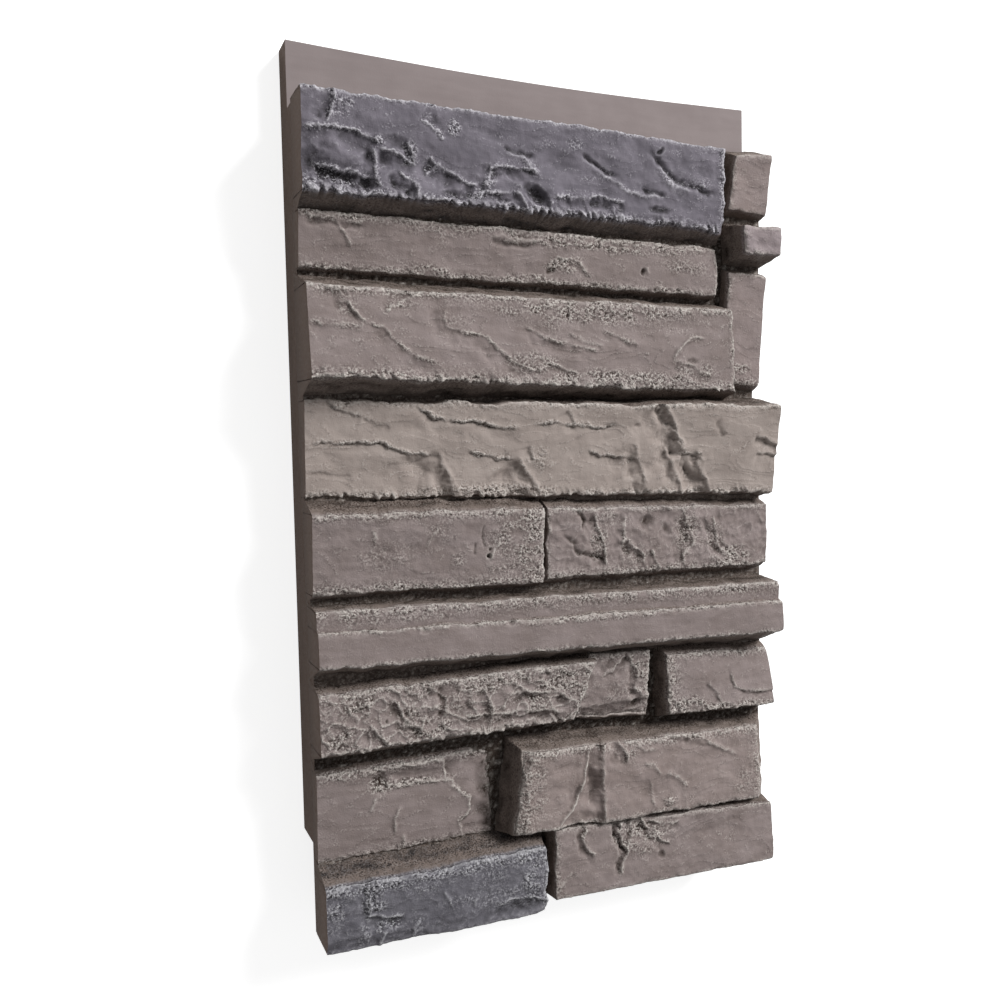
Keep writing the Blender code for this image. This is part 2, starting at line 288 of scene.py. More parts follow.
def build_worn_paint():
    """Sprayed paint, a dark wash with painted shade in the crevices, and a pale dry brush on the ridges.

    Wash, painted shade and brush follow the pieces' own crevice and ridge numbers, broken up by fine
    noise. Where a surface is crumbly, sharp noise gives it dark pits and pale peaks. What is sunk has
    the wall paint.
    """
    tree = bpy.data.node_groups.new("worn_paint", "ShaderNodeTree")
    for name in ("Paint", "Second Paint", "Wall Paint", "Wash And Shade", "Brush"):
        tree.interface.new_socket(name, in_out="INPUT", socket_type="NodeSocketColor")
    for name in ("Wash And Shade Amount", "Brush Amount", "Grain"):
        tree.interface.new_socket(name, in_out="INPUT", socket_type="NodeSocketFloat")
    for name, kind in (("Color", "Color"), ("Roughness", "Float"), ("Normal", "Vector")):
        tree.interface.new_socket(name, in_out="OUTPUT", socket_type="NodeSocket" + kind)
    inlet = add_node(tree, "NodeGroupInput").outputs
    outlet = add_node(tree, "NodeGroupOutput").inputs
    crevice, ridge, sunk, crumbly = [
        add_node(tree, "ShaderNodeAttribute", attribute_name=name).outputs["Fac"]
        for name in ("crevice", "ridge", "sunk", "crumbly")
    ]
    here = add_node(tree, "ShaderNodeTexCoord").outputs["Object"]
    clouds = noise(tree, here, 70.0, 3.0)
    freckles = noise(tree, here, 900.0, 2.0)
    grain = noise(tree, here, 1500.0, 3.0)
    grit = noise(tree, here, 1150.0, 1.5)
    stretch = add_node(tree, "ShaderNodeMapping")
    stretch.inputs["Scale"].default_value = (0.16, 1.0, 1.0)
    tree.links.new(here, stretch.inputs["Vector"])
    streaks = noise(tree, stretch.outputs["Vector"], 330.0, 2.0)

    # The base: two sprayed colours in clouds with streaks along the panel, and the wall's own colour.
    streaky = maths(tree, "MULTIPLY_ADD", streaks, 1.1, -0.9)
    mottle = maths(tree, "MULTIPLY_ADD", clouds, 1.8, streaky, clamp=True)
    base = colour_mix(tree, mottle, inlet["Paint"], inlet["Second Paint"])
    base = colour_mix(tree, sunk, base, inlet["Wall Paint"])

    # The wash, with painted shade: where the crevice number is high, speckled, and in the pits of what is
    # crumbly.
    speckle = maths(tree, "MULTIPLY_ADD", freckles, 1.2, 0.4)
    wash_and_shade = maths(tree, "MULTIPLY", crevice, inlet["Wash And Shade Amount"])
    wash_and_shade = maths(tree, "MULTIPLY", wash_and_shade, speckle, clamp=True)
    pits = maths(tree, "MULTIPLY_ADD", grit, -14.0, 6.4, clamp=True)
    pits = maths(tree, "MULTIPLY", pits, crumbly)
    pits = maths(tree, "MULTIPLY", pits, inlet["Wash And Shade Amount"])
    wash_and_shade = maths(tree, "MAXIMUM", wash_and_shade, pits)
    washed_and_shaded = colour_mix(tree, wash_and_shade, base, inlet["Wash And Shade"])

    # The brush: where the ridge number is high, spotted, and on the peaks, but fewer of those on walls.
    spotty = maths(tree, "MULTIPLY_ADD", freckles, 2.4, -0.5)
    brush = maths(tree, "MULTIPLY", ridge, inlet["Brush Amount"])
    brush = maths(tree, "MULTIPLY", brush, spotty, clamp=True)
    peaks = maths(tree, "MULTIPLY_ADD", grit, 14.0, -7.7, clamp=True)
    peaks = maths(tree, "MULTIPLY", peaks, crumbly)
    peaks = maths(tree, "MULTIPLY", peaks, inlet["Brush Amount"])
    on_face = maths(tree, "MULTIPLY_ADD", sunk, -0.85, 1.0)
    peaks = maths(tree, "MULTIPLY", peaks, on_face)
    brush = maths(tree, "MAXIMUM", brush, peaks)
    tree.links.new(colour_mix(tree, brush, washed_and_shaded, inlet["Brush"]), outlet["Color"])

    # The feel: matt all over, a little uneven, with the spray's grain and grit where it is crumbly.
    tree.links.new(maths(tree, "MULTIPLY_ADD", freckles, 0.3, 0.5), outlet["Roughness"])
    height = maths(tree, "MULTIPLY", grain, inlet["Grain"])
    height = maths(tree, "MULTIPLY", height, 0.25)
    height = maths(tree, "ADD", height, maths(tree, "MULTIPLY", grit, crumbly))
    bump = add_node(tree, "ShaderNodeBump")
    bump.inputs["Strength"].default_value = 1.0
    bump.inputs["Distance"].default_value = GRIT_HEIGHT * MM
    tree.links.new(height, bump.inputs["Height"])
    tree.links.new(bump.outputs["Normal"], outlet["Normal"])
    return tree


GRIT_HEIGHT = 0.7
# A dark umber for the wash in crevices, which also paints shade, and a pale dry brush.
UMBER_WASH_AND_SHADE = (46, 38, 33)
PALE_BRUSH = (186, 180, 174)
worn_paint = build_worn_paint()


def make_paint(name, paint, second, wash_and_shade_amount=0.9, brush_amount=1.0, grain=1.0, wash_and_shade=UMBER_WASH_AND_SHADE,
               brush=PALE_BRUSH, wall=(112, 101, 95)):
    """A painted finish: the worn paint group with its own colours, into a Principled BSDF."""
    material = bpy.data.materials.new(name)
    material.use_nodes = True
    tree = material.node_tree
    shader = tree.nodes["Principled BSDF"]
    group = add_node(tree, "ShaderNodeGroup", node_tree=worn_paint)
    colours = {"Paint": paint, "Second Paint": second, "Wall Paint": wall, "Wash And Shade": wash_and_shade, "Brush": brush}
    for socket, colour in colours.items():
        group.inputs[socket].default_value = linear(*colour)
    for socket, amount in (("Wash And Shade Amount", wash_and_shade_amount), ("Brush Amount", brush_amount), ("Grain", grain)):
        group.inputs[socket].default_value = amount
    for output, socket in (("Color", "Base Color"), ("Roughness", "Roughness"), ("Normal", "Normal")):
        tree.links.new(group.outputs[output], shader.inputs[socket])
    shader.inputs["Specular IOR Level"].default_value = 0.04
    return material


mortar_paint = make_paint("mortar_paint", (124, 112, 105), (104, 93, 86), 1.0, 0.9)
flange_paint = make_paint("flange_paint", (141, 131, 130), (133, 123, 122), 0.3, 0.3, 0.3)
sawn_paint = make_paint("sawn_paint", (105, 89, 80), (92, 77, 69), 0.0, 0.0, 0.5, wall=(96, 82, 74))
back_paint = make_paint("back_paint", (124, 114, 107), (116, 106, 99), 0.3, 0.2, 0.5)
finishes = [mortar_paint, flange_paint, sawn_paint, back_paint]
for finish in finishes:
    slab_piece.data.materials.append(finish)
stretch_finish = {"bed": mortar_paint, "flange": flange_paint, "top": flange_paint}
row_slot = [finishes.index(stretch_finish.get(name, back_paint)) for name in np.roll(kind, -1)]
face_slot = np.append(np.repeat(row_slot, columns - 1), [finishes.index(sawn_paint)] * 2)
slab_piece.data.polygons.foreach_set("material_index", face_slot.astype(np.int32))

# The stones of the head course
# Casts of split ledgestone, part of the same moulding. Each is a face with four drafted walls that
# sink into the bed. Here a long slate, and beside it the first of the corner stones.
FACE_CELL = 0.54
WALL_STEPS = 13
ARRIS_REACH = 2.4
ARRIS_DROP = 0.8
ROOT_DEPTH = 4.5
END_PROUD = 0.04
SEED_PROUD = 0.004
FAR_OFF = 99.0
NOISE_LAYER = 40.0
PAST_LEFT, PAST_RIGHT = -1.0, PANEL_LENGTH + 9.0


def blend(start, end, share):
    """The start where the share is 0, and the end where it is 1."""
    return start + (end - start) * share


def smooth_step(value, low, high):
    """0 below low, 1 above high, and 3t^2 - 2t^3 between."""
    t = np.clip((value - low) / (high - low), 0.0, 1.0)
    return t * t * (3 - 2 * t)


def follow(path, x, y):
    """For each point: how far it is to the right of the path, and its share of the way along it."""
    path = np.array(path, float)
    nearest = np.full(x.shape, 1e9)
    beside = np.zeros(x.shape)
    passed = np.zeros(x.shape)
    lengths = np.linalg.norm(np.diff(path, axis=0), axis=1)
    covered = 0.0
    for (start_x, start_y), (end_x, end_y), length in zip(path[:-1], path[1:], lengths):
        step_x, step_y = (end_x - start_x) / length, (end_y - start_y) / length
        forward = np.clip((x - start_x) * step_x + (y - start_y) * step_y, 0, length)
        away_x, away_y = x - start_x - forward * step_x, y - start_y - forward * step_y
        distance = np.hypot(away_x, away_y)
        right = np.where(away_x * step_y - away_y * step_x > 0, distance, -distance)
        closer = distance < nearest
        nearest = np.where(closer, distance, nearest)
        beside = np.where(closer, right, beside)
        passed = np.where(closer, (covered + forward) / lengths.sum(), passed)
        covered += length
    return beside, passed


def ledge(path, drop, fade=8.0, width=1.0, crumbs=0.7, jag=0.6):
    """A split's step: the surface drops on the right of the path, and comes back up as e^(-d/fade).

    The drop is steepest at its edge, 1 - (1 - d/width)^2. Noise, in millimetres by the last number,
    makes the edge jagged and the step uneven, and towards the path's ends the step runs out.
    """
    def shape(x, y, seed):
        beside, passed = follow(path, x, y)
        spot = np.stack([x, y, np.full(x.shape, 7.0)], -1)
        beside = beside + jag * (1.3 * soft_noise(spot, 4.6, seed) + 0.8 * soft_noise(spot, 1.7, seed + 9))
        taper = smooth_step(np.minimum(passed, 1 - passed), 0.0, 0.16)
        taper = taper * np.clip(0.95 + 0.8 * soft_noise(spot, 7.0, seed + 19), 0.3, 1.3)
        down = np.clip(beside / width, 0, 1)
        low = (1 - (1 - down) ** 2) * np.exp(-np.maximum(beside - width, 0) / fade)
        lip = 0.15 * np.exp(-((beside + 0.9) / 0.9) ** 2)
        strength = crumbs * np.minimum(taper, 1)
        broken = strength * np.exp(-((beside + 0.3) / 1.1) ** 2)
        pale = strength * np.exp(-((beside + 0.45) / 0.5) ** 2)
        # Painted shade in a narrow band just below the drop, where the step's shadow falls.
        shade_spot = 0.2 * np.clip(taper * drop, 0, 1.2) * np.exp(-((beside - 0.7) / 0.6) ** 2)
        return taper * drop * (lip - low), broken, pale, shade_spot
    return shape, path, 3.5 * fade + width


def flake(path, drop, reach, cliff=0.6, crumbs=1.0, jag=0.8):
    """The scar of a flake: a low cliff on the right of the path, and below it a long shallow scoop.

    A quarter of the drop is the cliff, 1 - e^(-d/cliff), and the rest the scoop, 1 - e^(-d/(reach/3)).
    From a third of the reach to its end the surface comes back up by a smooth step.
    """
    def shape(x, y, seed):
        beside, passed = follow(path, x, y)
        spot = np.stack([x, y, np.full(x.shape, 7.0)], -1)
        beside = beside + jag * (1.2 * soft_noise(spot, 5.0, seed) + 0.7 * soft_noise(spot, 1.8, seed + 9))
        taper = smooth_step(np.minimum(passed, 1 - passed), 0.0, 0.16)
        taper = taper * np.clip(1.0 + 0.9 * soft_noise(spot, 6.0, seed + 19), 0.3, 1.4)
        down = np.maximum(beside, 0)
        low = 0.25 * (1 - np.exp(-down / cliff)) + 0.75 * (1 - np.exp(-3 * down / reach))
        low = low * (1 - smooth_step(down, reach / 3, reach))
        lip = (0.12 * drop + 0.14) * np.exp(-((beside + 0.6) / 0.6) ** 2)
        strength = crumbs * np.minimum(taper, 1)
        broken = strength * np.exp(-((beside + 0.3) / 1.2) ** 2)
        pale = strength * np.exp(-((beside + 0.5) / 0.55) ** 2)
        depth = np.clip(taper * drop, 0, 2.0)
        # Painted shade under the cliff, and fading down the scoop.
        shade_spot = 0.18 * depth * np.exp(-((beside - 0.6 * cliff - 0.2) / (cliff + 0.2)) ** 2)
        shade_spot = np.maximum(shade_spot, 0.18 * depth * np.exp(-2.5 * down / reach) * (beside > 0))
        return taper * (lip - drop * low), broken, pale, shade_spot
    return shape, path, reach + 3.0


def facet(path, slope, depth, crumbs=0.7):
    """A plane that falls away on the right of the path by the slope, until it is depth lower."""
    def shape(x, y, seed):
        beside = follow(path, x, y)[0]
        fallen = slope * np.maximum(beside, 0)
        broken = crumbs * np.exp(-((beside - 0.3) / 1.2) ** 2)
        return -depth * (1 - np.exp(-fallen / depth)), broken, 0.6 * broken, 0.0
    return shape, path, 3.0 * depth / slope


def groove(path, width, depth):
    """A trough along the path, deepest in its middle as e^(-(d/width)^2). A negative depth is a rib."""
    def shape(x, y, seed):
        beside, passed = follow(path, x, y)
        spot = np.stack([x, y, np.full(x.shape, 7.0)], -1)
        beside = beside + 0.5 * soft_noise(spot, 3.0, seed)
        taper = smooth_step(np.minimum(passed, 1 - passed), 0.0, 0.2)
        depths = taper * np.exp(-(beside / width) ** 2)
        raised = depth < 0
        broken = 0.5 * depths * raised
        pale = 0.7 * depths ** 2 * raised
        # A trough gets painted shade along its middle; a rib is broken and dry-brushed instead.
        shade_spot = 0.45 * depths ** 2 * (not raised)
        return -depth * depths, broken, pale, shade_spot
    return shape, path, 3.0 * width


def hollow(x_middle, y_middle, x_reach, y_reach, depth, turn=0.0, painted_shade=0.0):
    """A scooped place inside a turned ellipse, (1 - r^2)^1.5 deep, and how much painted shade lies in it.

    A negative depth is a swelling.
    """
    def shape(x, y, seed):
        cos, sin = math.cos(math.radians(turn)), math.sin(math.radians(turn))
        away_x, away_y = x - x_middle, y - y_middle
        ahead = (away_x * cos + away_y * sin) / x_reach
        aside = (away_y * cos - away_x * sin) / y_reach
        inside = np.clip(1 - ahead ** 2 - aside ** 2, 0, 1)
        return -depth * inside ** 1.5, 0.0, 0.0, painted_shade * inside
    return shape, [(x_middle, y_middle)], max(x_reach, y_reach)


def apply_marks(marks, flat, seed):
    """The sum of a stone's marks, how broken they leave it, their pale lips and the painted shade in them.

    Noise added to x and y makes all the lines ragged.
    """
    x, y = flat[..., 0], flat[..., 1]
    ragged_x = x + 0.35 * soft_noise(flat, 2.2, seed + 1600) + 0.6 * soft_noise(flat, 7.0, seed + 1650)
    ragged_y = y + 0.35 * soft_noise(flat, 2.2, seed + 1700) + 0.5 * soft_noise(flat, 7.0, seed + 1750)
    total = np.zeros(x.shape)
    broken, lips, pools = np.zeros((3, *x.shape))
    for number, (shape, path, reach) in enumerate(marks):
        low, high = np.min(path, axis=0) - reach, np.max(path, axis=0) + reach
        near = (x > low[0]) & (x < high[0]) & (y > low[1]) & (y < high[1])
        height, crumbs, lip, shade_spot = shape(ragged_x[near], ragged_y[near], seed + 37 * number)
        total[near] += height
        broken[near] = np.maximum(broken[near], crumbs)
        lips[near] = np.maximum(lips[near], lip)
        pools[near] = np.maximum(pools[near], shade_spot)
    return total, broken, lips, pools


def split_layers(flat, seed):
    """Thin layers split off: noise plus three steps, each where the noise passes a level.

    Gives the height, and how near each point is to the edge of a layer.
    """
    size = np.array([24.0, 9.0, 9.0])
    field = soft_noise(flat, size, seed) + 0.25 * soft_noise(flat, size / 2.6, seed + 1)
    height = 0.5 * field
    edge = np.zeros(field.shape)
    for level in (-0.4, -0.05, 0.3):
        height = height + 0.45 * smooth_step(field, level - 0.035, level + 0.035)
        edge = np.maximum(edge, np.exp(-((field - level) / 0.06) ** 2))
    return height - 0.7, edge


def crumbling(bands, patches, flat, edges):
    """How crumbly each point is, from 0 to 1: bands along the four edges and patches of the face."""
    x, y = flat[..., 0], flat[..., 1]
    amount = np.zeros(x.shape)
    for (reach, strength), edge in zip(bands, edges):
        amount = np.maximum(amount, strength * np.exp(-(edge / max(reach, 0.01)) ** 2))
    for x_middle, y_middle, x_reach, y_reach, strength in patches:
        radius = ((x - x_middle) / x_reach) ** 2 + ((y - y_middle) / y_reach) ** 2
        amount = np.maximum(amount, strength * np.exp(-radius ** 2))
    return amount


def stations(length, fall, sawn_first, sawn_last):
    """The grid lines of one direction: down the first wall, across the face and down the last wall.

    Gives, for each line, its share across the face, how far it has gone down a wall, and which wall
    that is: -1, 0 on the face, or 1. A sawn wall is flat, so it needs only its foot.
    """
    falls = fall * np.linspace(0, 1, WALL_STEPS)[1:] ** 1.6
    first = falls[-1:] if sawn_first else falls
    last = falls[-1:] if sawn_last else falls
    face = np.linspace(0.0, 1.0, round(length / FACE_CELL) + 1)
    share = np.concatenate([np.zeros(len(first)), face, np.ones(len(last))])
    down = np.concatenate([first[::-1], np.zeros(len(face)), last])
    side = np.concatenate([-np.ones(len(first)), np.zeros(len(face)), np.ones(len(last))])
    return share, down, side


def split_face(flat, edges, fall, seed, look):
    """The split face that a stone was cast from, as a relief and what its paint and walls follow.

    The relief is a sum: a broad swell, ripples, thin layers, sharp crests where the stone is rough,
    the stone's marks, crumbs, teeth along the foot, and last the arris, rounded down by (1 - d/r)^2.
    """
    x, y = flat[..., 0], flat[..., 1]
    relief = look.swell * soft_noise(flat, (34.0, 17.0, 9.0), seed + 800)
    relief += 0.6 * look.swell * soft_noise(flat, (15.0, 10.0, 9.0), seed + 850)
    relief += look.ripple * soft_noise(flat, (7.0, 5.0, 9.0), seed + 900)
    relief += 0.45 * look.ripple * soft_noise(flat, 2.6, seed + 950)
    layers, layer_edge = split_layers(flat, seed + 1050)
    relief += look.flaky * layers
    bent = flat + 1.6 * np.stack([soft_noise(flat, 4.5, seed + 60 + 10 * axis) for axis in range(3)], -1)
    crests = np.clip(1 - 2.6 * np.abs(soft_noise(bent, (10.0, 7.0, 9.0), seed + 1000)), 0, 1)
    small_crests = np.clip(1 - 2.2 * np.abs(soft_noise(bent, (4.6, 3.8, 9.0), seed + 1100)), 0, 1)
    some = np.clip(0.5 + 1.2 * soft_noise(flat, 15.0, seed + 1150), 0, 1)
    relief += look.rough * (0.9 * crests ** 2 + 0.6 * some * small_crests ** 2 - 0.4)
    marked, broken, lips, pools = apply_marks(look.marks, flat, seed)
    relief = relief * np.exp(-fall / 7.0) + marked * np.exp(-fall / 1.8)

    banded = crumbling(look.bands, look.patches, flat, edges)
    cloudy = 0.95 + 1.1 * soft_noise(flat, (8.0, 4.0, 1.0), seed + 1800)
    raised = np.clip(cloudy * np.maximum(banded, 0.35 * broken), 0, 1)
    crumbly = cloudy * np.maximum(banded, np.maximum(broken, 1.2 * look.flaky * layer_edge))
    sharp = look.rough * np.maximum(crests, some * small_crests) ** 4
    crumbly = np.clip(np.maximum(crumbly, sharp), 0, 1)
    crumbs = soft_noise(flat, (1.7, 1.4, 1.0), seed + 1200) + 0.5 * soft_noise(flat, 3.2, seed + 1300)
    relief += (0.7 * look.coarse * raised + 0.03) * crumbs * np.exp(-fall / 1.5)

    slanted = np.stack([x + 0.55 * y, y, np.full(x.shape, 5.0)], -1)
    teeth = 1.5 * soft_noise(slanted, (2.0, 6.0, 9.0), seed + 2000)
    teeth += soft_noise(slanted, (5.0, 8.0, 9.0), seed + 2050)
    teeth = np.clip(teeth, -0.4, 1) * np.clip(0.7 + 1.3 * soft_noise(flat, 12.0, seed + 2070), 0.15, 1.2)
    teeth = look.teeth * teeth * np.exp(-(edges[2] / 3.0) ** 2)
    relief += 0.9 * teeth * np.exp(-fall / 3.0)
    worn = 1 + 0.8 * soft_noise(flat, 6.0, seed + 1350)
    edge = np.minimum.reduce(edges)
    relief -= ARRIS_DROP * worn * np.clip(1 - edge / (ARRIS_REACH * worn), 0, 1) ** 2
    return Face(relief, worn, teeth, crumbly, lips, pools)


def weather(piece, points, flat, kept, edges, side_y, dropped, face, seed, grimy):
    """Where the wash, the painted shade and the dry brush lie on a stone, kept as numbers for its paint.

    The brush catches what bulges out, the lips, the arrises and the teeth. The wash stays in what
    bulges in and down the walls. Painted shade lies in broad hollows, under the marks' drops, along
    the foot and head, and deep in the joints along with the wash.
    """
    fine, broad = np.zeros((2, *dropped.shape))
    fine[:, kept], broad[:, kept] = bulge(points[:, kept], 1), bulge(points[:, kept], 6)
    on_face = np.exp(-dropped / 1.5)
    arris = np.exp(-((np.minimum.reduce(edges) - 0.7) / 0.8) ** 2)
    arris = (0.25 + face.crumbly) * arris * np.exp(-dropped / 0.8)
    patchy = np.clip(0.35 + 1.7 * soft_noise(flat, 2.4, seed + 1900), 0, 1)
    brushed = (fine * 4.0 - 0.1) * (0.3 + face.crumbly) * on_face
    brushed = np.maximum(brushed, patchy * np.maximum(face.lips * on_face, 0.8 * arris))
    brushed = np.maximum(brushed, np.clip(1.4 * face.teeth - 0.3, 0, 1) * on_face)
    brushed = brushed * (1 - 0.6 * np.clip(face.pools, 0, 1))
    store(piece, "ridge", np.clip(brushed, 0, 1))

    # Painted shade along the foot and the head, fading down the walls.
    painted_edge_shade = np.zeros(dropped.shape)
    for (strength, reach), edge in zip(grimy, edges[2:]):
        painted_edge_shade = np.maximum(painted_edge_shade, strength * np.exp(-edge / reach))
    painted_edge_shade = painted_edge_shade * np.clip(0.9 + soft_noise(flat, (6.0, 4.0, 9.0), seed + 2100), 0, 1)
    painted_edge_shade = painted_edge_shade * np.exp(-dropped / 3.0)
    shade_spot = face.pools * (1 + 0.5 * soft_noise(flat, 3.0, seed + 2200)) * on_face
    # The wash lies in fine hollows and painted shade in broad ones, and both darken the walls deep in the
    # joints.
    washed_and_shaded = -fine * 2.5 * (0.4 + face.crumbly) - broad * 0.35 - 0.05 + np.maximum(painted_edge_shade, shade_spot)
    washed_and_shaded += np.where(side_y > 0, 0.5, 0.4) * smooth_step(dropped, 3.0, 10.0)
    store(piece, "crevice", np.clip(washed_and_shaded, 0, 1))
    store(piece, "sunk", smooth_step(dropped, 0.6, 2.5))
    gritty = np.where(side_y > 0, 0.8, 0.4) * smooth_step(dropped, 2, 8)
    store(piece, "crumbly", face.crumbly * np.exp(-dropped / 6.0) + gritty)


# What a split face hands on to its walls and its paint, and what may differ from stone to stone.
Face = namedtuple("Face", "relief worn teeth crumbly lips pools")
Look = namedtuple("Look", "swell ripple flaky rough ragged coarse teeth grimy bands patches marks")
PLAIN_LOOK = Look(
    swell=0.8, ripple=0.25, flaky=0.2, rough=0.0, ragged=0.9, coarse=1.0, teeth=0.0,
    grimy=((0.0, 2.0), (0.4, 2.2)), bands=((1.5, 0.6), (1.5, 0.6), (2.5, 0.8), (2.5, 0.8)),
    patches=(), marks=(),
)


def make_stone(name, course, low_left, low_right, high_right, high_left, draft, paint, seed, **own_look):
    """One stone: a face blended between its corners, with walls falling from its four edges.

    A corner is (along, in from the course's edge, level). A corner that lies past an end of the
    panel is brought to the sawn plane, and its wall is flat there. Down a wall, a point moves
    outwards by the draft for each millimetre that it falls, and near the arris it is rounded in.
    The look is the plain one with the stone's own changes. Bands, (reach, strength) for each edge,
    and patches, (x, y, x reach, y reach, strength), are crumbly. Teeth are slanted chips along the
    foot, and the edge shade, (strength, reach), is painted shade along foot and head.
    """
    look = PLAIN_LOOK._replace(**own_look)
    proud = END_PROUD + SEED_PROUD * seed
    corners = np.array([[low_left, low_right], [high_left, high_right]], float)
    corners[0, :, 1] += COURSE_FEET[course]
    corners[1, :, 1] = COURSE_FEET[course + 1] - corners[1, :, 1]
    sawn_left, sawn_right = low_left[0] < 0, low_right[0] > PANEL_LENGTH
    if sawn_left:
        corners[:, 0, 0] = -corners[:, 0, 1] * LEAN - proud
    if sawn_right:
        corners[:, 1, 0] = SAWN_SPAN - corners[:, 1, 1] * LEAN + proud
    length = corners[:, 1, 0].mean() - corners[:, 0, 0].mean()
    height = corners[1, :, 1].mean() - corners[0, :, 1].mean()
    root = min(*BED_LEFT[course:course + 2], *BED_RIGHT[course:course + 2]) - ROOT_DEPTH
    deepest = corners[..., 2].mean() - root
    u, fall_x, side_x = stations(length, deepest, sawn_left, sawn_right)
    v, fall_y, side_y = stations(height, deepest, False, False)
    first_face = int((side_x < 0).sum())
    last_face = len(u) - 1 - int((side_x > 0).sum())
    u, v = np.meshgrid(u, v)
    fall_x, fall_y = np.meshgrid(fall_x, fall_y)
    side_x, side_y = np.meshgrid(side_x, side_y)
    fall = np.maximum(fall_x, fall_y)
    low = blend(corners[0, 0], corners[0, 1], u[..., None])
    high = blend(corners[1, 0], corners[1, 1], u[..., None])
    base = blend(low, high, v[..., None])
    x, y = base[..., 0], base[..., 1]
    layer = np.full(x.shape, NOISE_LAYER * seed)
    flat = np.stack([x, y, layer], -1)
    left = np.full(x.shape, FAR_OFF) if sawn_left else u * length
    right = np.full(x.shape, FAR_OFF) if sawn_right else (1 - u) * length
    edges = [left, right, v * height, (1 - v) * height]
    face = split_face(flat, edges, fall, seed, look)

    # The walls: each point falls from the face to the root, and moves out by the draft.
    top_level = base[..., 2] + face.relief
    level = blend(top_level, root, fall / deepest)
    dropped = top_level - level
    round_in = ARRIS_DROP * face.worn * np.clip(1 - dropped / (ARRIS_REACH * face.worn), 0, 1) ** 2
    beside = np.stack([x, y, level + NOISE_LAYER * seed], -1)
    rugged = 0.5 * soft_noise(beside, (9.0, 9.0, 5.0), seed + 1400)
    rugged = (rugged + 0.2 * soft_noise(beside, 2.6, seed + 1500)) * np.clip(dropped / 1.5, 0, 1)
    share_x, share_y = fall_x / np.maximum(fall, 1e-6), fall_y / np.maximum(fall, 1e-6)
    draft_x = np.where(side_x < 0, draft[0], draft[1])
    draft_y = np.where(side_y < 0, draft[2], draft[3])
    out_x = side_x * share_x * (np.maximum(draft_x, 0.03) * dropped + rugged - round_in)
    out_y = side_y * share_y * (np.maximum(draft_y, 0.03) * dropped + rugged - round_in)

    # The arrises wave in and out of line, and the teeth bite into the foot. No point leaves the panel.
    along_edge = np.stack([x, 30 * np.round(v), layer], -1)
    up_edge = np.stack([50 * np.round(u), y, layer], -1)
    bite = np.exp(-fall / 2.5)
    wave_y = soft_noise(along_edge, 13.0, seed + 100) + 0.5 * bite * soft_noise(along_edge, 3.1, seed + 200)
    wave_y += bite * face.teeth
    wave_x = soft_noise(up_edge, 8.0, seed + 300) + 0.5 * bite * soft_noise(up_edge, 2.9, seed + 350)
    near_y = np.exp(-np.minimum(edges[2], edges[3]) / 4.0)
    near_x = np.exp(-np.minimum(edges[0], edges[1]) / 4.0)
    up = y + out_y + look.ragged * np.sign(v - 0.5) * wave_y * near_y
    along = x + out_x + look.ragged * np.sign(u - 0.5) * wave_x * near_x
    along = np.clip(along, -up * LEAN - proud, SAWN_SPAN - up * LEAN + proud)
    if course == 0:
        up = np.where(v < 0.5, blend(y, up, smooth_step(v, 0.1, 0.4)), up)
    if sawn_left:
        along = np.where(u == 0, -up * LEAN - proud, along)
    if sawn_right:
        along = np.where(u == 1, SAWN_SPAN - up * LEAN + proud, along)
    points = np.stack([along, up, level], -1)

    # The mesh is closed at its root by one face. A sawn wall takes no part in what bulges.
    rows, columns = u.shape
    index = np.arange(rows * columns).reshape(rows, columns)
    rim = np.concatenate([index[0, :-1], index[:-1, -1], index[-1, :0:-1], index[:0:-1, 0]])
    piece = grid_mesh(name, points, ring_faces=[rim[::-1].tolist()])
    sharpen(piece, columns, edge_columns=[first_face] * sawn_left + [last_face] * sawn_right)
    kept = slice(first_face if sawn_left else 0, last_face + 1 if sawn_right else columns)
    weather(piece, points, flat, kept, edges, side_y, dropped, face, seed, look.grimy)
    for finish in (paint, sawn_paint):
        piece.data.materials.append(finish)
    sawn = np.zeros((rows - 1, columns - 1), np.int32)
    sawn[:, :first_face] = int(sawn_left)
    sawn[:, last_face:] = int(sawn_right)
    piece.data.polygons.foreach_set("material_index", np.append(sawn.ravel(), 0).astype(np.int32))


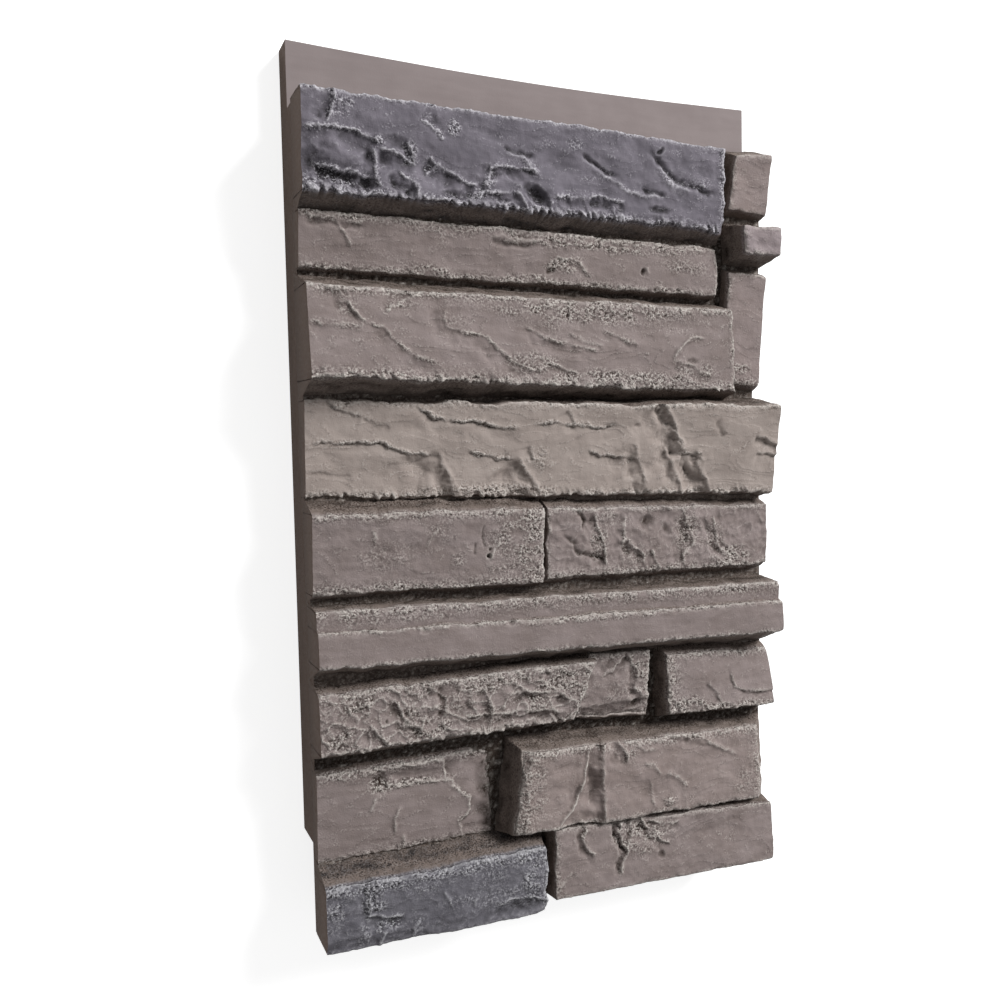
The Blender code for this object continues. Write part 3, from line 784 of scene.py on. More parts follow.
slate_paint = make_paint("slate_paint", (118, 113, 121), (94, 90, 97), 0.85, 1.1,
                         wash_and_shade=(38, 36, 37), brush=(187, 184, 189))
corner_paint = make_paint("corner_paint", (145, 133, 131), (128, 116, 113))
make_stone(
    "slate_top", 8, (PAST_LEFT, 3, 41.5), (204.5, 2.5, 38.5), (204.5, 0, 38), (PAST_LEFT, -1, 43),
    (0, 0.15, 0.5, 0.03), slate_paint, 1, swell=1.3, ripple=0.5, ragged=1.0, coarse=1.1, teeth=1.4,
    grimy=((0.85, 3.0), (0.0, 2.0)),
    bands=((1.5, 0.4), (3, 0.9), (2.6, 0.8), (1.6, 0.8)),
    patches=((3, 329, 14, 3, 0.7), (26, 347, 3, 3, 0.9), (41, 345, 3, 4, 0.7), (60.5, 356.5, 3, 4, 0.9),
        (78, 338, 3, 5, 0.8), (95, 345, 6, 3, 0.5), (190, 346, 8, 3, 0.5), (12, 361, 4, 6, 0.8),
        (51, 339, 4, 2, 0.7), (120, 357, 5, 3, 0.5), (72, 329, 4, 4, 0.9), (8, 358, 3, 6, 0.6)),
    marks=(
        flake([(7, 369), (7.1, 362), (5.6, 358), (5.1, 354.5), (3.5, 350.5)], 2.6, 9, cliff=1.5),
        flake([(-9, 349), (0, 349), (4, 350.2), (6, 351.4), (12, 350.2), (17, 349.7), (21, 348.4),
            (27, 347)], 1.9, 13),
        hollow(25.8, 347.6, 2.2, 1.8, -1.4),
        hollow(10, 341.5, 15, 6, -1.9, turn=-12),
        hollow(-2, 336.5, 8, 6.5, 2.4, painted_shade=0.6),
        flake([(-2, 335.5), (7, 334.3), (12.7, 333.7), (17.7, 332.3), (25, 331)], 2.6, 7, cliff=1.0),
        hollow(12, 330.8, 14, 2.8, 0.4, turn=-8, painted_shade=0.75),
        flake([(21.5, 344), (25.7, 338.5), (24.6, 335.4), (25.6, 331.7), (27.5, 327)], 1.9, 8,
            cliff=1.0),
        flake([(26, 343.7), (34.5, 342.2), (39, 341.4), (44, 338.5)], 2.0, 8, crumbs=0.9),
        hollow(34, 347.8, 7, 3.5, 1.5, turn=-8, painted_shade=0.4),
        flake([(38.5, 349), (41, 345), (42.3, 341), (42.5, 338)], 1.6, 5, cliff=0.9),
        groove([(47.5, 336), (50, 337.4), (52.5, 339.3)], 1.1, -1.0),
        flake([(34.5, 337.5), (37.5, 333.5), (41.8, 331.2), (43.7, 328.6), (42, 323)], 2.4, 8,
            cliff=1.1),
        hollow(35, 328.8, 9, 3.2, 0.8, turn=-15, painted_shade=0.6),
        hollow(10, 331, 24, 6.5, 0.3, turn=-8, painted_shade=0.9),
        hollow(66, 326.5, 20, 4.5, 0.3, painted_shade=0.7),
        flake([(46, 343.5), (51, 341), (55.5, 338.2), (60.2, 336.6), (64.8, 334.7), (73, 333.3)], 1.8,
            10, crumbs=0.9),
        hollow(61, 328.3, 8, 3, 1.6, painted_shade=0.75),
        flake([(57, 351), (54.5, 352.9), (50.3, 356.1), (47, 358.4), (44.5, 360)], 1.3, 8, crumbs=0.9),
        hollow(52.8, 357.2, 5.5, 2.6, 0.4, turn=-32, painted_shade=0.3),
        flake([(75, 342), (80, 341.8), (85.5, 342.7), (92, 342.3), (98, 342.2), (104, 339.5)], 1.8, 6),
        flake([(77, 343.5), (77.5, 339), (75.3, 335.2), (76.8, 330)], 1.1, 6, cliff=0.8),
        flake([(70, 330.2), (81.4, 330.8), (88.7, 331.7), (94, 331)], 1.4, 5, crumbs=0.9),
        groove([(83.5, 352), (86.4, 350.7), (91.3, 349.4), (101, 349)], 1.3, 1.3),
        groove([(84, 349.5), (94.6, 347.6), (98, 344), (103, 341.5)], 1.4, -0.8),
        hollow(100.4, 331.7, 9, 4.4, 3.6, turn=-38, painted_shade=0.85),
        hollow(107.5, 329, 1.7, 1.7, -1.3),
        groove([(90.5, 333.5), (93.5, 329.5), (96.5, 325)], 1.1, -1.0),
        flake([(105, 330.5), (110.4, 332.8), (115, 331.5), (119, 332.4), (126, 332.3), (130.3, 333.9),
            (135, 333.9), (142, 332.9), (150, 333)], 2.1, 7, cliff=0.8, jag=1.0),
        hollow(134, 330.8, 9, 2.3, 0.5, painted_shade=0.6),
        groove([(122.5, 354), (128.5, 350.9), (133, 348.3), (137.3, 346), (144, 345)], 1.2, 1.5),
        groove([(124, 352), (130, 346.8), (135.6, 343.4), (142.7, 341.6), (146.7, 338.3), (154.5, 337),
            (162.7, 338), (171, 335)], 1.4, -0.8),
        groove([(155, 340.2), (162.7, 339.6), (170.5, 337.5)], 1.4, 1.2),
        groove([(158, 361), (164.5, 354.7), (170, 349.8), (175.8, 345.8), (181.5, 344.6), (189, 344.4),
            (194, 342), (203, 342)], 1.7, 1.7),
        groove([(163, 352), (169, 347), (175, 343), (185, 342)], 2.4, -0.7),
        hollow(166.8, 359, 1.6, 3.0, 1.6, turn=-50, painted_shade=0.8),
        hollow(166, 331.3, 8, 2.6, 1.4, painted_shade=0.7),
        facet([(197, 322), (206, 332)], 0.8, 4.0),
        hollow(112, 347, 14, 6, 0.9, turn=15),
        hollow(190, 354, 10, 5, 0.8, turn=-30),
    ),
)
make_stone(
    "corner_top", 8, (209, 14, 35), (PAST_RIGHT, 13, 33.5), (PAST_RIGHT, 1, 38.5), (212, 2, 37),
    (0.1, 0, 0.3, 0.37), corner_paint, 2, coarse=0.6,
    bands=((3, 0.4), (1, 0), (2, 0.3), (2, 0.4)),
)

# The stones of the second course
# A thin ledgestone of the same moulding with a smooth, gently waved face, and the corner stone that
# keys in over the end of the course below it.
taupe_paint = make_paint("taupe_paint", (138, 127, 125), (120, 109, 106))
make_stone(
    "second", 7, (PAST_LEFT, 2.5, 28), (203.5, 1, 33), (203.5, 5.5, 33.5), (PAST_LEFT, 3, 31),
    (0, 0.2, 0.2, 0.3), taupe_paint, 3, grimy=((0.2, 1.5), (0.75, 2.6)),
    bands=((1, 0), (2.5, 0.7), (2.6, 1), (3.0, 0.9)),
    patches=((118, 303, 9, 4, 1), (100, 296, 12, 2.5, 0.8), (55, 297, 10, 2.5, 0.8),
        (14, 317.5, 12, 2.5, 1), (140, 314.5, 55, 4, 1), (70, 315, 25, 3, 0.7), (185, 306, 16, 4, 0.5)),
    marks=(
        flake([(-4, 315.6), (8, 315), (24, 315)], 1.3, 4),
        groove([(10, 316), (14, 310), (18, 304)], 0.8, -0.5),
        groove([(80, 314.3), (90, 313.3), (100, 313), (109, 314.3)], 0.9, -0.8),
        flake([(80, 312.6), (90, 311.8), (100, 311.6), (108, 312.8)], 0.8, 3, crumbs=0.5, jag=0.3),
        hollow(111.5, 300, 3.2, 1.8, 1.2, turn=20, painted_shade=0.5),
        flake([(109, 301), (116, 305.5), (124, 305), (135, 298)], 0.5, 5),
        hollow(161, 302.5, 1.6, 2.2, 1.3, painted_shade=0.8),
        groove([(163.5, 305), (164, 301)], 0.8, -0.5),
        hollow(56, 306, 16, 8, 0.5),
        hollow(168, 294.5, 1.2, 1.2, 1.0, painted_shade=0.9),
        hollow(174, 294.5, 1.2, 1.2, 1.0, painted_shade=0.9),
        hollow(181, 294.5, 1.2, 1.4, 1.0, painted_shade=0.9),
    ),
)
rose_paint = make_paint("rose_paint", (152, 141, 143), (136, 125, 126))
make_stone(
    "corner_key", 7, (212.5, 22, 45), (PAST_RIGHT, 21, 45.5), (PAST_RIGHT, -5.5, 46.3),
    (210.5, -4.5, 46), (0.15, 0, 0.2, 0.2), rose_paint, 4, coarse=0.7,
    bands=((3, 0.6), (1, 0), (2, 0.5), (2, 0.4)),
    marks=(
        hollow(222, 318, 5, 4, 0.6),
        hollow(231, 321, 6, 4, -0.6),
    ),
)

# The stones of the third course
# The broadest smooth face of the panel. Flakes have left it a few curved steps, and its head is
# crumbly where it splits. Beside it lies the foot of the corner.
make_stone(
    "third", 6, (PAST_LEFT, 5, 48), (213, 4, 37), (211, 6, 36.5), (PAST_LEFT, 6, 41.5),
    (0, 0.1, 0.35, 0.35), taupe_paint, 5, flaky=0.25, teeth=1.1, grimy=((0.6, 1.6), (0.5, 3.0)),
    bands=((1.5, 0.3), (3, 0.8), (4, 1), (3.5, 1)),
    patches=((130, 281, 55, 6, 0.8), (150, 250, 45, 4, 1), (12, 277, 6, 6, 0.4), (36, 281, 9, 5, 0.5),
        (98, 256, 14, 6, 0.6), (60, 272, 6, 6, 0.3), (188, 254, 14, 6, 0.5), (110, 278, 14, 8, 0.35)),
    marks=(
        flake([(-2, 287), (8, 284), (12, 279), (18, 271)], 0.9, 8, crumbs=0.8),
        flake([(-6, 270.5), (8, 269), (19, 269)], 0.4, 6, crumbs=0.6),
        flake([(16, 272), (27, 269), (31, 265), (36, 260), (43, 257), (50, 255), (56, 248)], 0.65, 9,
            crumbs=0.7),
        hollow(33, 284, 8, 4.5, 1.2),
        flake([(46, 287), (36, 280.5), (27, 276)], 0.7, 6, crumbs=0.9),
        flake([(58, 283), (55, 275), (56, 270), (65, 268), (75, 267), (80, 262), (85, 257), (93, 254),
            (106, 252)], 1.0, 9, crumbs=0.8),
        flake([(92, 274), (101, 269), (108, 267), (118, 265), (135, 262.5)], 1.0, 7, crumbs=0.6),
        flake([(115, 271), (124, 267), (137, 264.5)], 0.4, 5, crumbs=0.5),
        flake([(134, 273), (145, 269), (156, 266.5)], 0.6, 5, crumbs=0.6),
        flake([(102, 257), (113, 254), (123, 250)], 0.7, 5, crumbs=0.9),
        groove([(174, 257), (177, 264), (182, 269), (189, 272), (195, 271)], 0.9, -0.9),
        groove([(11, 281), (15, 275), (20, 270)], 0.8, -0.7),
        flake([(174, 260), (185, 257), (199, 252)], 0.9, 6, crumbs=0.9),
        hollow(186, 259.5, 5, 2.2, 0.8, painted_shade=0.3),
    ),
)
make_stone(
    "corner_low", 6, (211, 8, 27), (PAST_RIGHT, 7, 26.5), (PAST_RIGHT, -13, 33.5), (211, -13.5, 33),
    (0.15, 0, 0.5, 0.4), corner_paint, 6,
    bands=((3, 0.5), (1, 0), (5, 0.8), (2, 0.5)),
    patches=((221, 257, 7, 4, 0.7),),
    marks=(
        hollow(226, 272, 9, 12, 0.8),
    ),
)

# The stones of the fourth course
# A paler stone as long as the panel. Its face steps down the grain in thin beds, and upright faults
# cross it, so that its right end stands well proud.
olive_paint = make_paint("olive_paint", (162, 151, 145), (146, 135, 129), 0.9, 0.9, 0.8,
                         brush=(196, 190, 184))
make_stone(
    "fourth", 5, (PAST_LEFT, 3.5, 27.5), (PAST_RIGHT, 1, 38), (PAST_RIGHT, 3.5, 45.5),
    (PAST_LEFT, 4, 31), (0, 0, 0.2, 0.2), olive_paint, 7, swell=0.7, ripple=0.2, ragged=1.3, teeth=0.7,
    bands=((1, 0), (1, 0), (2.4, 0.9), (2.2, 0.8)),
    patches=((80, 197, 40, 4, 0.9), (105, 212, 4, 6, 0.5), (10, 236, 8, 2, 0.6)),
    marks=(
        ledge([(4, 238), (10, 234), (21, 232)], 0.9, fade=5, width=0.7),
        ledge([(20, 231), (28, 229), (34, 227)], 0.4, fade=3, crumbs=0.2),
        ledge([(43, 239), (48, 234), (53, 231), (61, 230), (75, 229), (85, 227), (96, 226)], 1.1, fade=7,
            width=0.7, crumbs=1.0),
        ledge([(98, 228), (112, 229), (125, 228), (132, 227), (147, 228)], 0.8, fade=5, width=0.7,
            crumbs=1.0),
        ledge([(-5, 220), (10, 220), (30, 220), (35, 217), (41, 215), (56, 215)], 1.0, width=0.7,
            crumbs=1.0),
        ledge([(-5, 208), (8, 207), (18, 206)], 0.4, fade=4, crumbs=0.2),
        ledge([(56, 217), (57, 211), (61, 204), (65, 195)], 2.6, fade=14, width=6.5, crumbs=0.3),
        ledge([(68, 216), (78, 214), (84, 212), (93, 213)], 0.8, fade=5, width=0.7, crumbs=1.0),
        ledge([(93, 214), (97, 208), (102, 202), (106, 196)], 2.8, fade=14, width=7, crumbs=0.4),
        ledge([(100, 219), (101, 215), (102, 211)], 0.7, fade=5, width=1.4),
        ledge([(128, 217), (136, 214), (150, 213), (160, 213)], 0.9, fade=6, width=0.7, crumbs=1.0),
        ledge([(118, 236), (121, 230), (123, 226)], 0.6, fade=6, width=1.5, crumbs=0.3),
        hollow(140, 228, 5, 1.6, 0.9),
        ledge([(152, 221), (156, 213), (160, 204), (165, 192)], 2.0, fade=9, width=6, crumbs=0.3,
            jag=1.0),
        ledge([(167, 241), (173, 231), (178, 222), (182, 213)], 3.2, fade=10, width=5, crumbs=0.4,
            jag=1.1),
        ledge([(170, 220), (175, 210), (180, 202), (186, 190)], 1.9, fade=6, width=4, crumbs=0.3,
            jag=0.8),
        ledge([(180, 215), (186, 214), (192, 215)], 1.0, fade=6, crumbs=0.9, jag=1.0),
        ledge([(189, 218), (190, 209), (194, 202), (200, 190)], 3.0, fade=7, width=5.5, crumbs=0.35,
            jag=0.9),
        ledge([(221, 224), (228, 221), (237, 218)], 1.4, width=2, crumbs=0.3),
        ledge([(222, 215), (229, 214), (238, 213)], 1.1, fade=6, crumbs=0.3),
        groove([(197, 231), (201, 226), (204, 222)], 2.0, 0.5),
        hollow(155, 228, 3, 1.6, 0.8),
    ),
)

# The stones of the fifth course
# Two stones end to end. The left one is smooth, with a grainy end and one deep pinhole, and the
# right one is roughly split.
make_stone(
    "fifth_left", 4, (PAST_LEFT, 2.5, 35.5), (105.5, 2.5, 37), (105.5, 3.5, 38), (PAST_LEFT, 3.5, 39.3),
    (0, 0.05, 0.35, 0.4), taupe_paint, 10, swell=0.7, ripple=0.35,
    bands=((1.5, 0.5), (16, 1), (4.0, 1), (3, 1)),
    patches=((90, 172, 15, 20, 0.5), (63, 168, 4, 4, 0.5), (30, 170, 14, 8, 0.3), (55, 180, 8, 5, 0.4)),
    marks=(
        hollow(77.5, 168.5, 1.3, 1.4, 2.6, painted_shade=1.0),
        hollow(78, 171.5, 0.8, 0.9, 1.0, painted_shade=0.7),
        groove([(75, 184), (74.5, 177), (76.5, 171)], 0.7, 0.35),
        groove([(71, 175), (70.5, 169)], 0.8, 0.5),
        groove([(84, 176), (80, 172), (79, 166)], 0.9, -0.6),
        groove([(54, 184), (50, 178), (47, 172)], 1.0, -0.3),
        groove([(23, 184), (24, 177), (22, 170)], 1.2, -0.25),
    ),
)
make_stone(
    "fifth_right", 4, (108.5, 4, 35), (PAST_RIGHT, 4.5, 33), (PAST_RIGHT, 5.5, 33.2), (108.5, 4, 35),
    (0.05, 0, 0.5, 0.5), taupe_paint, 31, swell=1.1, ripple=0.75, flaky=0.1, rough=0.3, ragged=1.0,
    grimy=((0.4, 2.0), (0.5, 3.0)),
    bands=((2, 0.6), (1, 0), (3.5, 0.9), (2.0, 0.8)),
    patches=((212, 162, 12, 6, 0.9), (140, 183, 8, 4, 0.6), (187, 174, 9, 12, 0.6),
        (136, 172, 5, 10, 0.6), (155, 166, 8, 6, 0.5), (203, 172, 6, 8, 0.6)),
    marks=(
        groove([(115, 178), (122, 172), (125, 167), (133, 165), (141, 164)], 1.2, 1.1),
        groove([(123, 189), (128, 183), (127, 178)], 1.1, 1.2),
        flake([(133, 188), (136, 178), (139, 168), (141, 158)], 1.6, 9, cliff=0.8),
        hollow(151, 168, 3.5, 4.5, 1.6, turn=20, painted_shade=0.3),
        flake([(151, 174), (156, 168), (162, 163)], 1.1, 6, crumbs=0.9),
        hollow(174, 177, 4.5, 2.8, 1.2, turn=-45, painted_shade=0.25),
        flake([(182, 188), (187, 178), (190, 170), (184, 164), (185, 156)], 1.5, 9, cliff=0.8),
        flake([(150, 186), (149, 176), (150, 168)], 1.0, 8, cliff=0.8, crumbs=0.8),
        flake([(200, 184), (204, 173), (207, 162)], 1.3, 8, cliff=0.8, crumbs=0.9),
        flake([(164, 168), (168, 160), (171, 154)], 1.3, 6, crumbs=0.9),
        hollow(163, 181, 6, 4, 1.1, turn=20, painted_shade=0.3),
        hollow(222, 175, 8, 6, 0.8),
    ),
)

# The stones of the sixth course
# A full-length band in two smooth tiers. The lower tier stands a little proud of the upper one, and
# the edge between them is broken into a crumbly line.
make_stone(
    "sixth", 3, (PAST_LEFT, 6, 41), (PAST_RIGHT, 6, 43), (PAST_RIGHT, 3.5, 42.8), (PAST_LEFT, 3.5, 41.2),
    (0, 0, 0.5, 0.1), taupe_paint, 12, swell=0.4, ripple=0.2, ragged=0.7,
    grimy=((0.0, 2.0), (0.55, 4.0)),
    bands=((1, 0), (1, 0), (1, 0), (4.5, 1)),
    patches=((35, 145.5, 45, 4, 0.5), (140, 146, 60, 3, 0.45)),
)
make_stone(
    "sixth_ledge", 3, (PAST_LEFT, 5.2, 44.6), (PAST_RIGHT, 4.2, 46.6), (PAST_RIGHT, 13, 46.3),
    (PAST_LEFT, 12.5, 43.8), (0, 0, 0.4, 0.3), taupe_paint, 13, swell=0.4, ripple=0.18, flaky=0.1,
    bands=((1, 0), (1, 0), (1.8, 0.8), (1.4, 1)),
    patches=((130, 138, 45, 2, 0.9),),
    marks=(
        hollow(45, 138, 2.5, 2, 1.2),
        hollow(86, 138.5, 2, 1.8, 1.3),
        hollow(173, 138, 2.5, 1.5, 0.8),
    ),
)

# The stones of the seventh course
# A long rough stone, the broken-off stub of a second, and past a deep gap a smooth end stone.
make_stone(
    "seventh_left", 2, (PAST_LEFT, 6.5, 43), (120.5, 8.8, 40), (132, 3, 40), (PAST_LEFT, 6.5, 41),
    (0, 0.3, 0.35, 0.2), taupe_paint, 14, swell=1.0, ripple=0.5, flaky=0.4, rough=0.9, ragged=1.1,
    teeth=0.7, grimy=((0.5, 1.5), (0.5, 3.0)),
    bands=((1, 0), (5, 1), (2.5, 0.9), (4.5, 1)),
    patches=((14, 109, 9, 5, 1), (75, 111, 16, 5, 1), (112, 108, 12, 8, 1), (4, 103, 6, 4, 0.6),
        (38, 99, 6, 6, 0.7), (50, 93, 14, 6, 0.8), (7, 93, 8, 6, 0.9), (100, 100, 10, 5, 0.6),
        (60, 103, 5, 5, 0.6), (88, 97, 6, 3, 0.5)),
    marks=(
        hollow(27.4, 98.6, 1.1, 1.1, 1.0, painted_shade=0.8),
        hollow(102.2, 110.3, 1.2, 1.2, 0.8, painted_shade=0.6),
        flake([(31, 109), (34, 101), (37, 96), (45, 93)], 1.6, 8),
        flake([(73, 110), (77, 102), (78, 94)], 1.5, 7),
        flake([(84, 104), (98, 104), (110, 103), (121, 97)], 1.5, 7),
        flake([(57, 96), (75, 96), (90, 96), (106, 95), (120, 91)], 1.9, 8, cliff=1.0),
        groove([(51, 113), (54, 104), (52, 96)], 1.6, 1.0),
        flake([(18, 98), (24, 93), (31, 87)], 1.4, 7),
        flake([(88, 111), (95, 105), (102, 100)], 1.2, 6),
        hollow(47, 100, 4, 3, 0.9, painted_shade=0.1),
        hollow(66, 101, 4, 3, 1.2, painted_shade=0.3),
    ),
)
make_stone(
    "seventh_mid", 2, (122, 8, 36.3), (163.5, 5.5, 36.5), (163, 0.7, 37), (130, 0.7, 36.8),
    (0.1, 0.15, 0.3, 0.2), taupe_paint, 15, ripple=0.45, rough=0.3, grimy=((0.8, 5.0), (0.6, 3.0)),
    bands=((3, 0.7), (4, 1), (2, 0.6), (4, 0.9)),
    patches=((158, 106, 4, 9, 0.9), (146, 98, 10, 5, 0.4)),
    marks=(
        facet([(115, 93), (130, 93), (142, 94), (170, 95)], 0.9, 5.0, crumbs=0.15),
        flake([(150, 118), (156, 108), (155, 100), (160, 94)], 1.3, 6),
        flake([(135, 105), (143, 110), (151, 118)], 1.2, 6, crumbs=0.8),
        hollow(156, 92, 6, 3, 2.2, turn=20, painted_shade=0.5),
        hollow(140, 112, 6, 4, 1.0, turn=30, painted_shade=0.3),
    ),
)
make_stone(
    "seventh_right", 2, (174, 4.5, 38.5), (PAST_RIGHT, 4, 40), (PAST_RIGHT, 7, 32.5), (172, 4, 38),
    (0.15, 0, 0.3, 0.5), taupe_paint, 16, coarse=1.3,
    bands=((6, 1), (1, 0), (3.5, 1), (3, 0.9)),
    patches=((184, 88, 14, 5, 1), (215, 84, 25, 3, 0.6)),
    marks=(
        ledge([(211, 104), (213, 95), (221, 92), (229, 91), (242, 92)], 1.0, fade=6, width=1.2,
            crumbs=0.5),
        ledge([(195, 99), (203, 94), (205, 86)], 0.7, fade=5, width=1.4, crumbs=0.5),
        hollow(207, 85, 6, 3, 1.4),
    ),
)

# The stones of the eighth course
# A low stone with a broken corner, a wide open joint, and a tall stone that is bent along an upright
# rib, with a fault beside it.
eighth_paint = make_paint("eighth_paint", (142, 130, 127), (125, 113, 109), 0.8)
make_stone(
    "eighth_left", 1, (PAST_LEFT, 1.2, 28.5), (82, 4, 30), (80, 3, 29.5), (PAST_LEFT, 5, 31.5),
    (0, 0.3, 0.3, 0.5), taupe_paint, 17, swell=0.6, ripple=0.2, grimy=((0.2, 2.0), (0.7, 3.0)),
    bands=((1, 0), (3, 0.3), (3, 0.7), (3.5, 1)),
    patches=((42, 66, 20, 2.0, 1), (10, 74, 14, 3, 0.8), (28, 67, 6, 6, 1), (40, 77, 20, 2.5, 0.9)),
    marks=(
        ledge([(68, 33), (66, 44), (71, 49), (71, 55), (66, 59), (60, 66), (56, 80)], 1.2, fade=30,
            width=1.4, crumbs=1.0, jag=0.8),
        facet([(67, 28), (67, 44), (71, 52), (66, 59), (60, 66), (56, 82)], 0.1, 3.0, crumbs=0),
        # A flat mark that only paints shade, where the tall stone beside shades the right of this face.
        hollow(90, 57, 17, 60, 0.0, painted_shade=1.35),
        flake([(66, 66), (52, 66), (38, 66), (26, 66), (20, 69)], 1.3, 9),
        hollow(27, 68, 5, 6, 1.6, turn=20, painted_shade=0.7),
        flake([(60, 76), (50, 75), (36, 75), (24, 76)], 1.5, 8),
        hollow(42, 77.5, 20, 2.5, 0.3, painted_shade=0.6),
        groove([(37.5, 57), (34, 50), (34, 42)], 0.9, -0.7),
        groove([(26.5, 62), (22, 55)], 0.9, -0.6),
        groove([(38.5, 43), (38, 35)], 0.9, -0.6),
    ),
)
make_stone(
    "eighth_right", 1, (88, 6, 45), (230, 1.8, 38), (228, 7, 37), (93, 3, 45), (0.22, 0.9, 0.15, 0.25),
    eighth_paint, 18, swell=0.9, ripple=0.35, coarse=0.9, grimy=((0.1, 1.5), (0.3, 3.0)),
    bands=((10, 0.8), (6, 0.6), (2.5, 0.8), (3.5, 1)),
    patches=((175, 73, 12, 3, 0.8), (150, 68, 5, 5, 0.5), (220, 45, 8, 8, 0.4), (173, 42, 5, 3, 0.8),
        (97, 58, 8, 22, 0.5)),
    marks=(
        facet([(104, 84), (98, 75), (93, 67), (91, 60)], 0.9, 9.0, crumbs=0.3),
        facet([(97, 86), (95, 68), (94, 50), (94, 30)], 0.4, 3.5, crumbs=0.3),
        groove([(129, 80), (127, 71), (125, 64), (123, 58), (120.5, 50.5), (115, 45), (108, 39),
            (104, 35)], 0.9, -1.5),
        ledge([(134, 86), (134, 76), (133, 66), (134.5, 55), (134, 46), (136, 28)], 3.2, fade=12,
            width=5.5, crumbs=0.4, jag=0.5),
        flake([(137, 82), (143, 76), (147.5, 69), (148, 62)], 1.9, 7, cliff=0.9, crumbs=0.8),
        hollow(140, 68, 3.5, 5, 1.2, turn=25, painted_shade=0.25),
        groove([(157, 65), (163, 61), (168, 56)], 1.1, -0.6),
        flake([(160, 56), (162, 47), (163, 38)], 0.5, 8, crumbs=0.4),
        groove([(169, 58), (178, 53), (185, 47)], 1.3, -0.4),
        hollow(183, 71, 2.5, 1.6, 1.0, painted_shade=0.3),
        groove([(184, 77), (200, 67), (217, 59)], 1.3, -0.7),
        groove([(152, 74), (158, 70), (166, 69)], 1.1, -0.5),
        groove([(168, 73), (185, 70), (199, 66)], 1.5, 0.6),
        flake([(180, 52), (182, 44), (183, 36)], 0.4, 7, crumbs=0.4),
        hollow(205, 58, 18, 9, 0.7, turn=-20),
        hollow(173, 42, 4, 2.5, -0.8),
    ),
)

# The stones of the lowest course
# A short slate, grainy along its head and chipped along its foot, and a taupe stone with two deep
# cracks down from its head.
low_slate_paint = make_paint("low_slate_paint", (110, 108, 114), (90, 88, 94),
                             wash_and_shade=(38, 37, 37), brush=(178, 177, 180))
make_stone(
    "slate_low", 0, (PAST_LEFT, -END_PROUD, 44), (104, -END_PROUD, 44), (104, 1.5, 44),
    (PAST_LEFT, 4.5, 43.5), (0, 0.1, 0, 0.35), low_slate_paint, 19, ripple=0.5, flaky=0.15, rough=0.25,
    ragged=1.1, grimy=((0.7, 6.0), (0.1, 2.0)),
    bands=((2, 0.6), (3, 0.9), (1.5, 0.4), (5.5, 1)),
    patches=((20, 20, 6, 7, 0.7), (27, 8, 6, 3, 0.8), (3, 18, 5, 10, 0.6), (60, 13, 12, 4, 0.3),
        (97, 17, 6, 10, 0.7), (16, 5, 3, 6, 0.6), (40, 6, 4, 4, 0.5), (75, 22, 10, 5, 0.4),
        (45, 23, 8, 4, 0.4), (80, 12, 16, 6, 0.35)),
    marks=(
        hollow(20, 0, 45, 6, 1.6, turn=-2, painted_shade=0.3),
        flake([(15, 14.5), (26, 12), (35, 12)], 1.1, 6),
        flake([(74, 9), (88, 9), (98, 8), (110, 4)], 1.3, 9, cliff=1.0, crumbs=0.9),
        hollow(94, 7, 12, 4, 0.4, painted_shade=0.5),
        flake([(17, 28), (19, 20), (17, 10)], 1.0, 6, cliff=0.8),
        groove([(27, 7), (24, 3), (23, -2)], 0.9, -0.8),
        groove([(41, 9), (39, 5), (38, 0)], 0.9, -0.8),
        groove([(52, 20), (55, 16), (56, 11)], 0.9, -0.6),
        groove([(68, 14), (67, 9)], 0.9, -0.6),
        facet([(94, -4), (106, 6)], 0.7, 5.0),
    ),
)
make_stone(
    "ninth_right", 0, (109.5, 3.5, 42), (PAST_RIGHT, 0.5, 38), (PAST_RIGHT, 2.5, 36), (109.5, -4.5, 41),
    (0.1, 0, 0, 0.3), taupe_paint, 20, ripple=0.35, grimy=((0.3, 3.0), (0.9, 3.0)),
    bands=((3, 0.6), (1, 0), (1.5, 0.5), (2, 0.6)),
    patches=((158, 27, 18, 10, 0.7), (112, 8, 4, 4, 0.5)),
    marks=(
        flake([(128, 42), (124, 32), (126, 26), (132, 19)], 1.8, 5, cliff=0.8, crumbs=0.9, jag=0.9),
        flake([(148, 41), (144, 30), (148, 22), (147, 16), (144, 8)], 2.6, 5, cliff=0.9, jag=1.0),
        flake([(152, 37), (152, 29), (147, 19)], 1.6, 4, cliff=0.7, jag=0.9),
        flake([(154, 41), (160, 31), (166, 25), (175, 17)], 1.9, 6, cliff=0.8, jag=1.0),
        flake([(161, 34), (170, 30), (181, 30)], 1.0, 5, crumbs=0.9),
        hollow(157, 31, 12, 8, 1.4, turn=-20, painted_shade=0.25),
        hollow(169, 15, 3, 2.2, 1.4, turn=-30, painted_shade=0.4),
        hollow(165, 38, 30, 5, 0.4, turn=3, painted_shade=0.7),
        ledge([(108, 8), (113, 10), (119, 16)], 0.7, fade=4),
        hollow(200, 20, 25, 8, 0.6, turn=5),
    ),
)

# The stage
# A pale studio floor under a soft light from above the top edge, and the photograph's viewpoint. The
# camera sees the floor and the world brighter than they light the panel, as the photo is cut out.
CAMERA_PLACE = (-208.6, 21.1, 453.5)
CAMERA_TURN = (-2.984, -22.93, -0.238)
FOCAL_PIXELS = 991.5
FRAME_PIXELS = 1000
SENSOR_WIDTH = 36.0
FLOOR_SIZE = 6.0
FLOOR_DROP = 0.0003
FLOOR_GREY = (0.6, 0.6, 0.6, 1.0)
FLOOR_GLOW = 0.78
WORLD_WHITE = (1.0, 1.0, 1.0, 1.0)
WORLD_LIGHT = 0.3
KEY_PLACE = (1.5, 1.5, 1.75)
KEY_SIZE = 1.0
KEY_POWER = 96.0


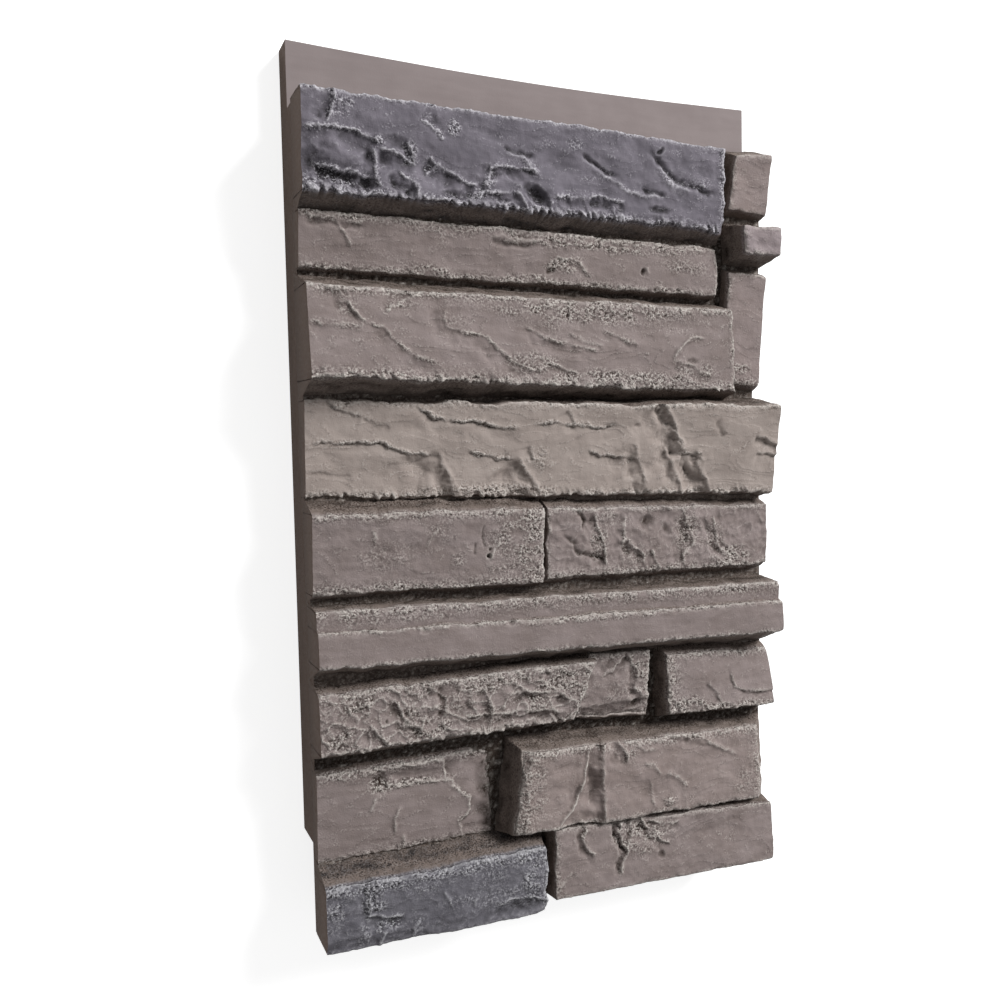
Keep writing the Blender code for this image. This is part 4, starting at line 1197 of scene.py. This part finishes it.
def seen_background(tree):
    """1 where the camera, a reflection or a clear body sees the surface and 0 where it gives light."""
    rays = add_node(tree, "ShaderNodeLightPath").outputs
    seen = maths(tree, "MAXIMUM", rays["Is Camera Ray"], rays["Is Glossy Ray"])
    return maths(tree, "MAXIMUM", seen, rays["Is Transmission Ray"])


floor_mesh = bpy.data.meshes.new("studio_floor")
half = FLOOR_SIZE / 2
floor_corners = [(-half, -half, 0), (half, -half, 0), (half, half, 0), (-half, half, 0)]
floor_mesh.from_pydata(floor_corners, [], [(0, 1, 2, 3)])
floor = bpy.data.objects.new("studio_floor", floor_mesh)
floor.location.z = -FLOOR_DROP
bpy.context.scene.collection.objects.link(floor)
floor_paint = bpy.data.materials.new("floor_paint")
floor_paint.use_nodes = True
tree = floor_paint.node_tree
shader = tree.nodes["Principled BSDF"]
shader.inputs["Base Color"].default_value = FLOOR_GREY
shader.inputs["Roughness"].default_value = 1.0
shader.inputs["Specular IOR Level"].default_value = 0.0
glow = add_node(tree, "ShaderNodeEmission")
tree.links.new(maths(tree, "MULTIPLY", seen_background(tree), FLOOR_GLOW), glow.inputs["Strength"])
both = add_node(tree, "ShaderNodeAddShader")
tree.links.new(shader.outputs["BSDF"], both.inputs[0])
tree.links.new(glow.outputs["Emission"], both.inputs[1])
tree.links.new(both.outputs["Shader"], tree.nodes["Material Output"].inputs["Surface"])
floor_mesh.materials.append(floor_paint)

world = bpy.data.worlds.new("studio")
world.use_nodes = True
tree = world.node_tree
sky = tree.nodes["Background"]
sky.inputs["Color"].default_value = WORLD_WHITE
brightness = maths(tree, "MULTIPLY_ADD", seen_background(tree), 1 - WORLD_LIGHT, WORLD_LIGHT)
tree.links.new(brightness, sky.inputs["Strength"])
bpy.context.scene.world = world

key_light = bpy.data.lights.new("key_lamp", "AREA")
key_light.shape = "SQUARE"
key_light.size = KEY_SIZE
key_light.energy = KEY_POWER
key_lamp = bpy.data.objects.new("key_lamp", key_light)
key_lamp.location = KEY_PLACE
ahead_x, ahead_y, ahead_z = [-distance for distance in KEY_PLACE]
pitch = math.atan2(ahead_z, math.hypot(ahead_x, ahead_y)) + math.pi / 2
yaw = math.atan2(ahead_y, ahead_x) - math.pi / 2
key_lamp.rotation_euler = Euler((pitch, 0.0, yaw), "XYZ")
bpy.context.scene.collection.objects.link(key_lamp)

lens = bpy.data.cameras.new("photo_camera")
lens.sensor_width = SENSOR_WIDTH
lens.lens = FOCAL_PIXELS * SENSOR_WIDTH / FRAME_PIXELS
lens.clip_start = 0.01
camera = bpy.data.objects.new("photo_camera", lens)
camera.location = np.array(CAMERA_PLACE) * MM
camera.rotation_euler = Euler([math.radians(angle) for angle in CAMERA_TURN], "XYZ")
bpy.context.scene.collection.objects.link(camera)
bpy.context.scene.camera = camera
bpy.context.scene.view_settings.view_transform = "Standard"
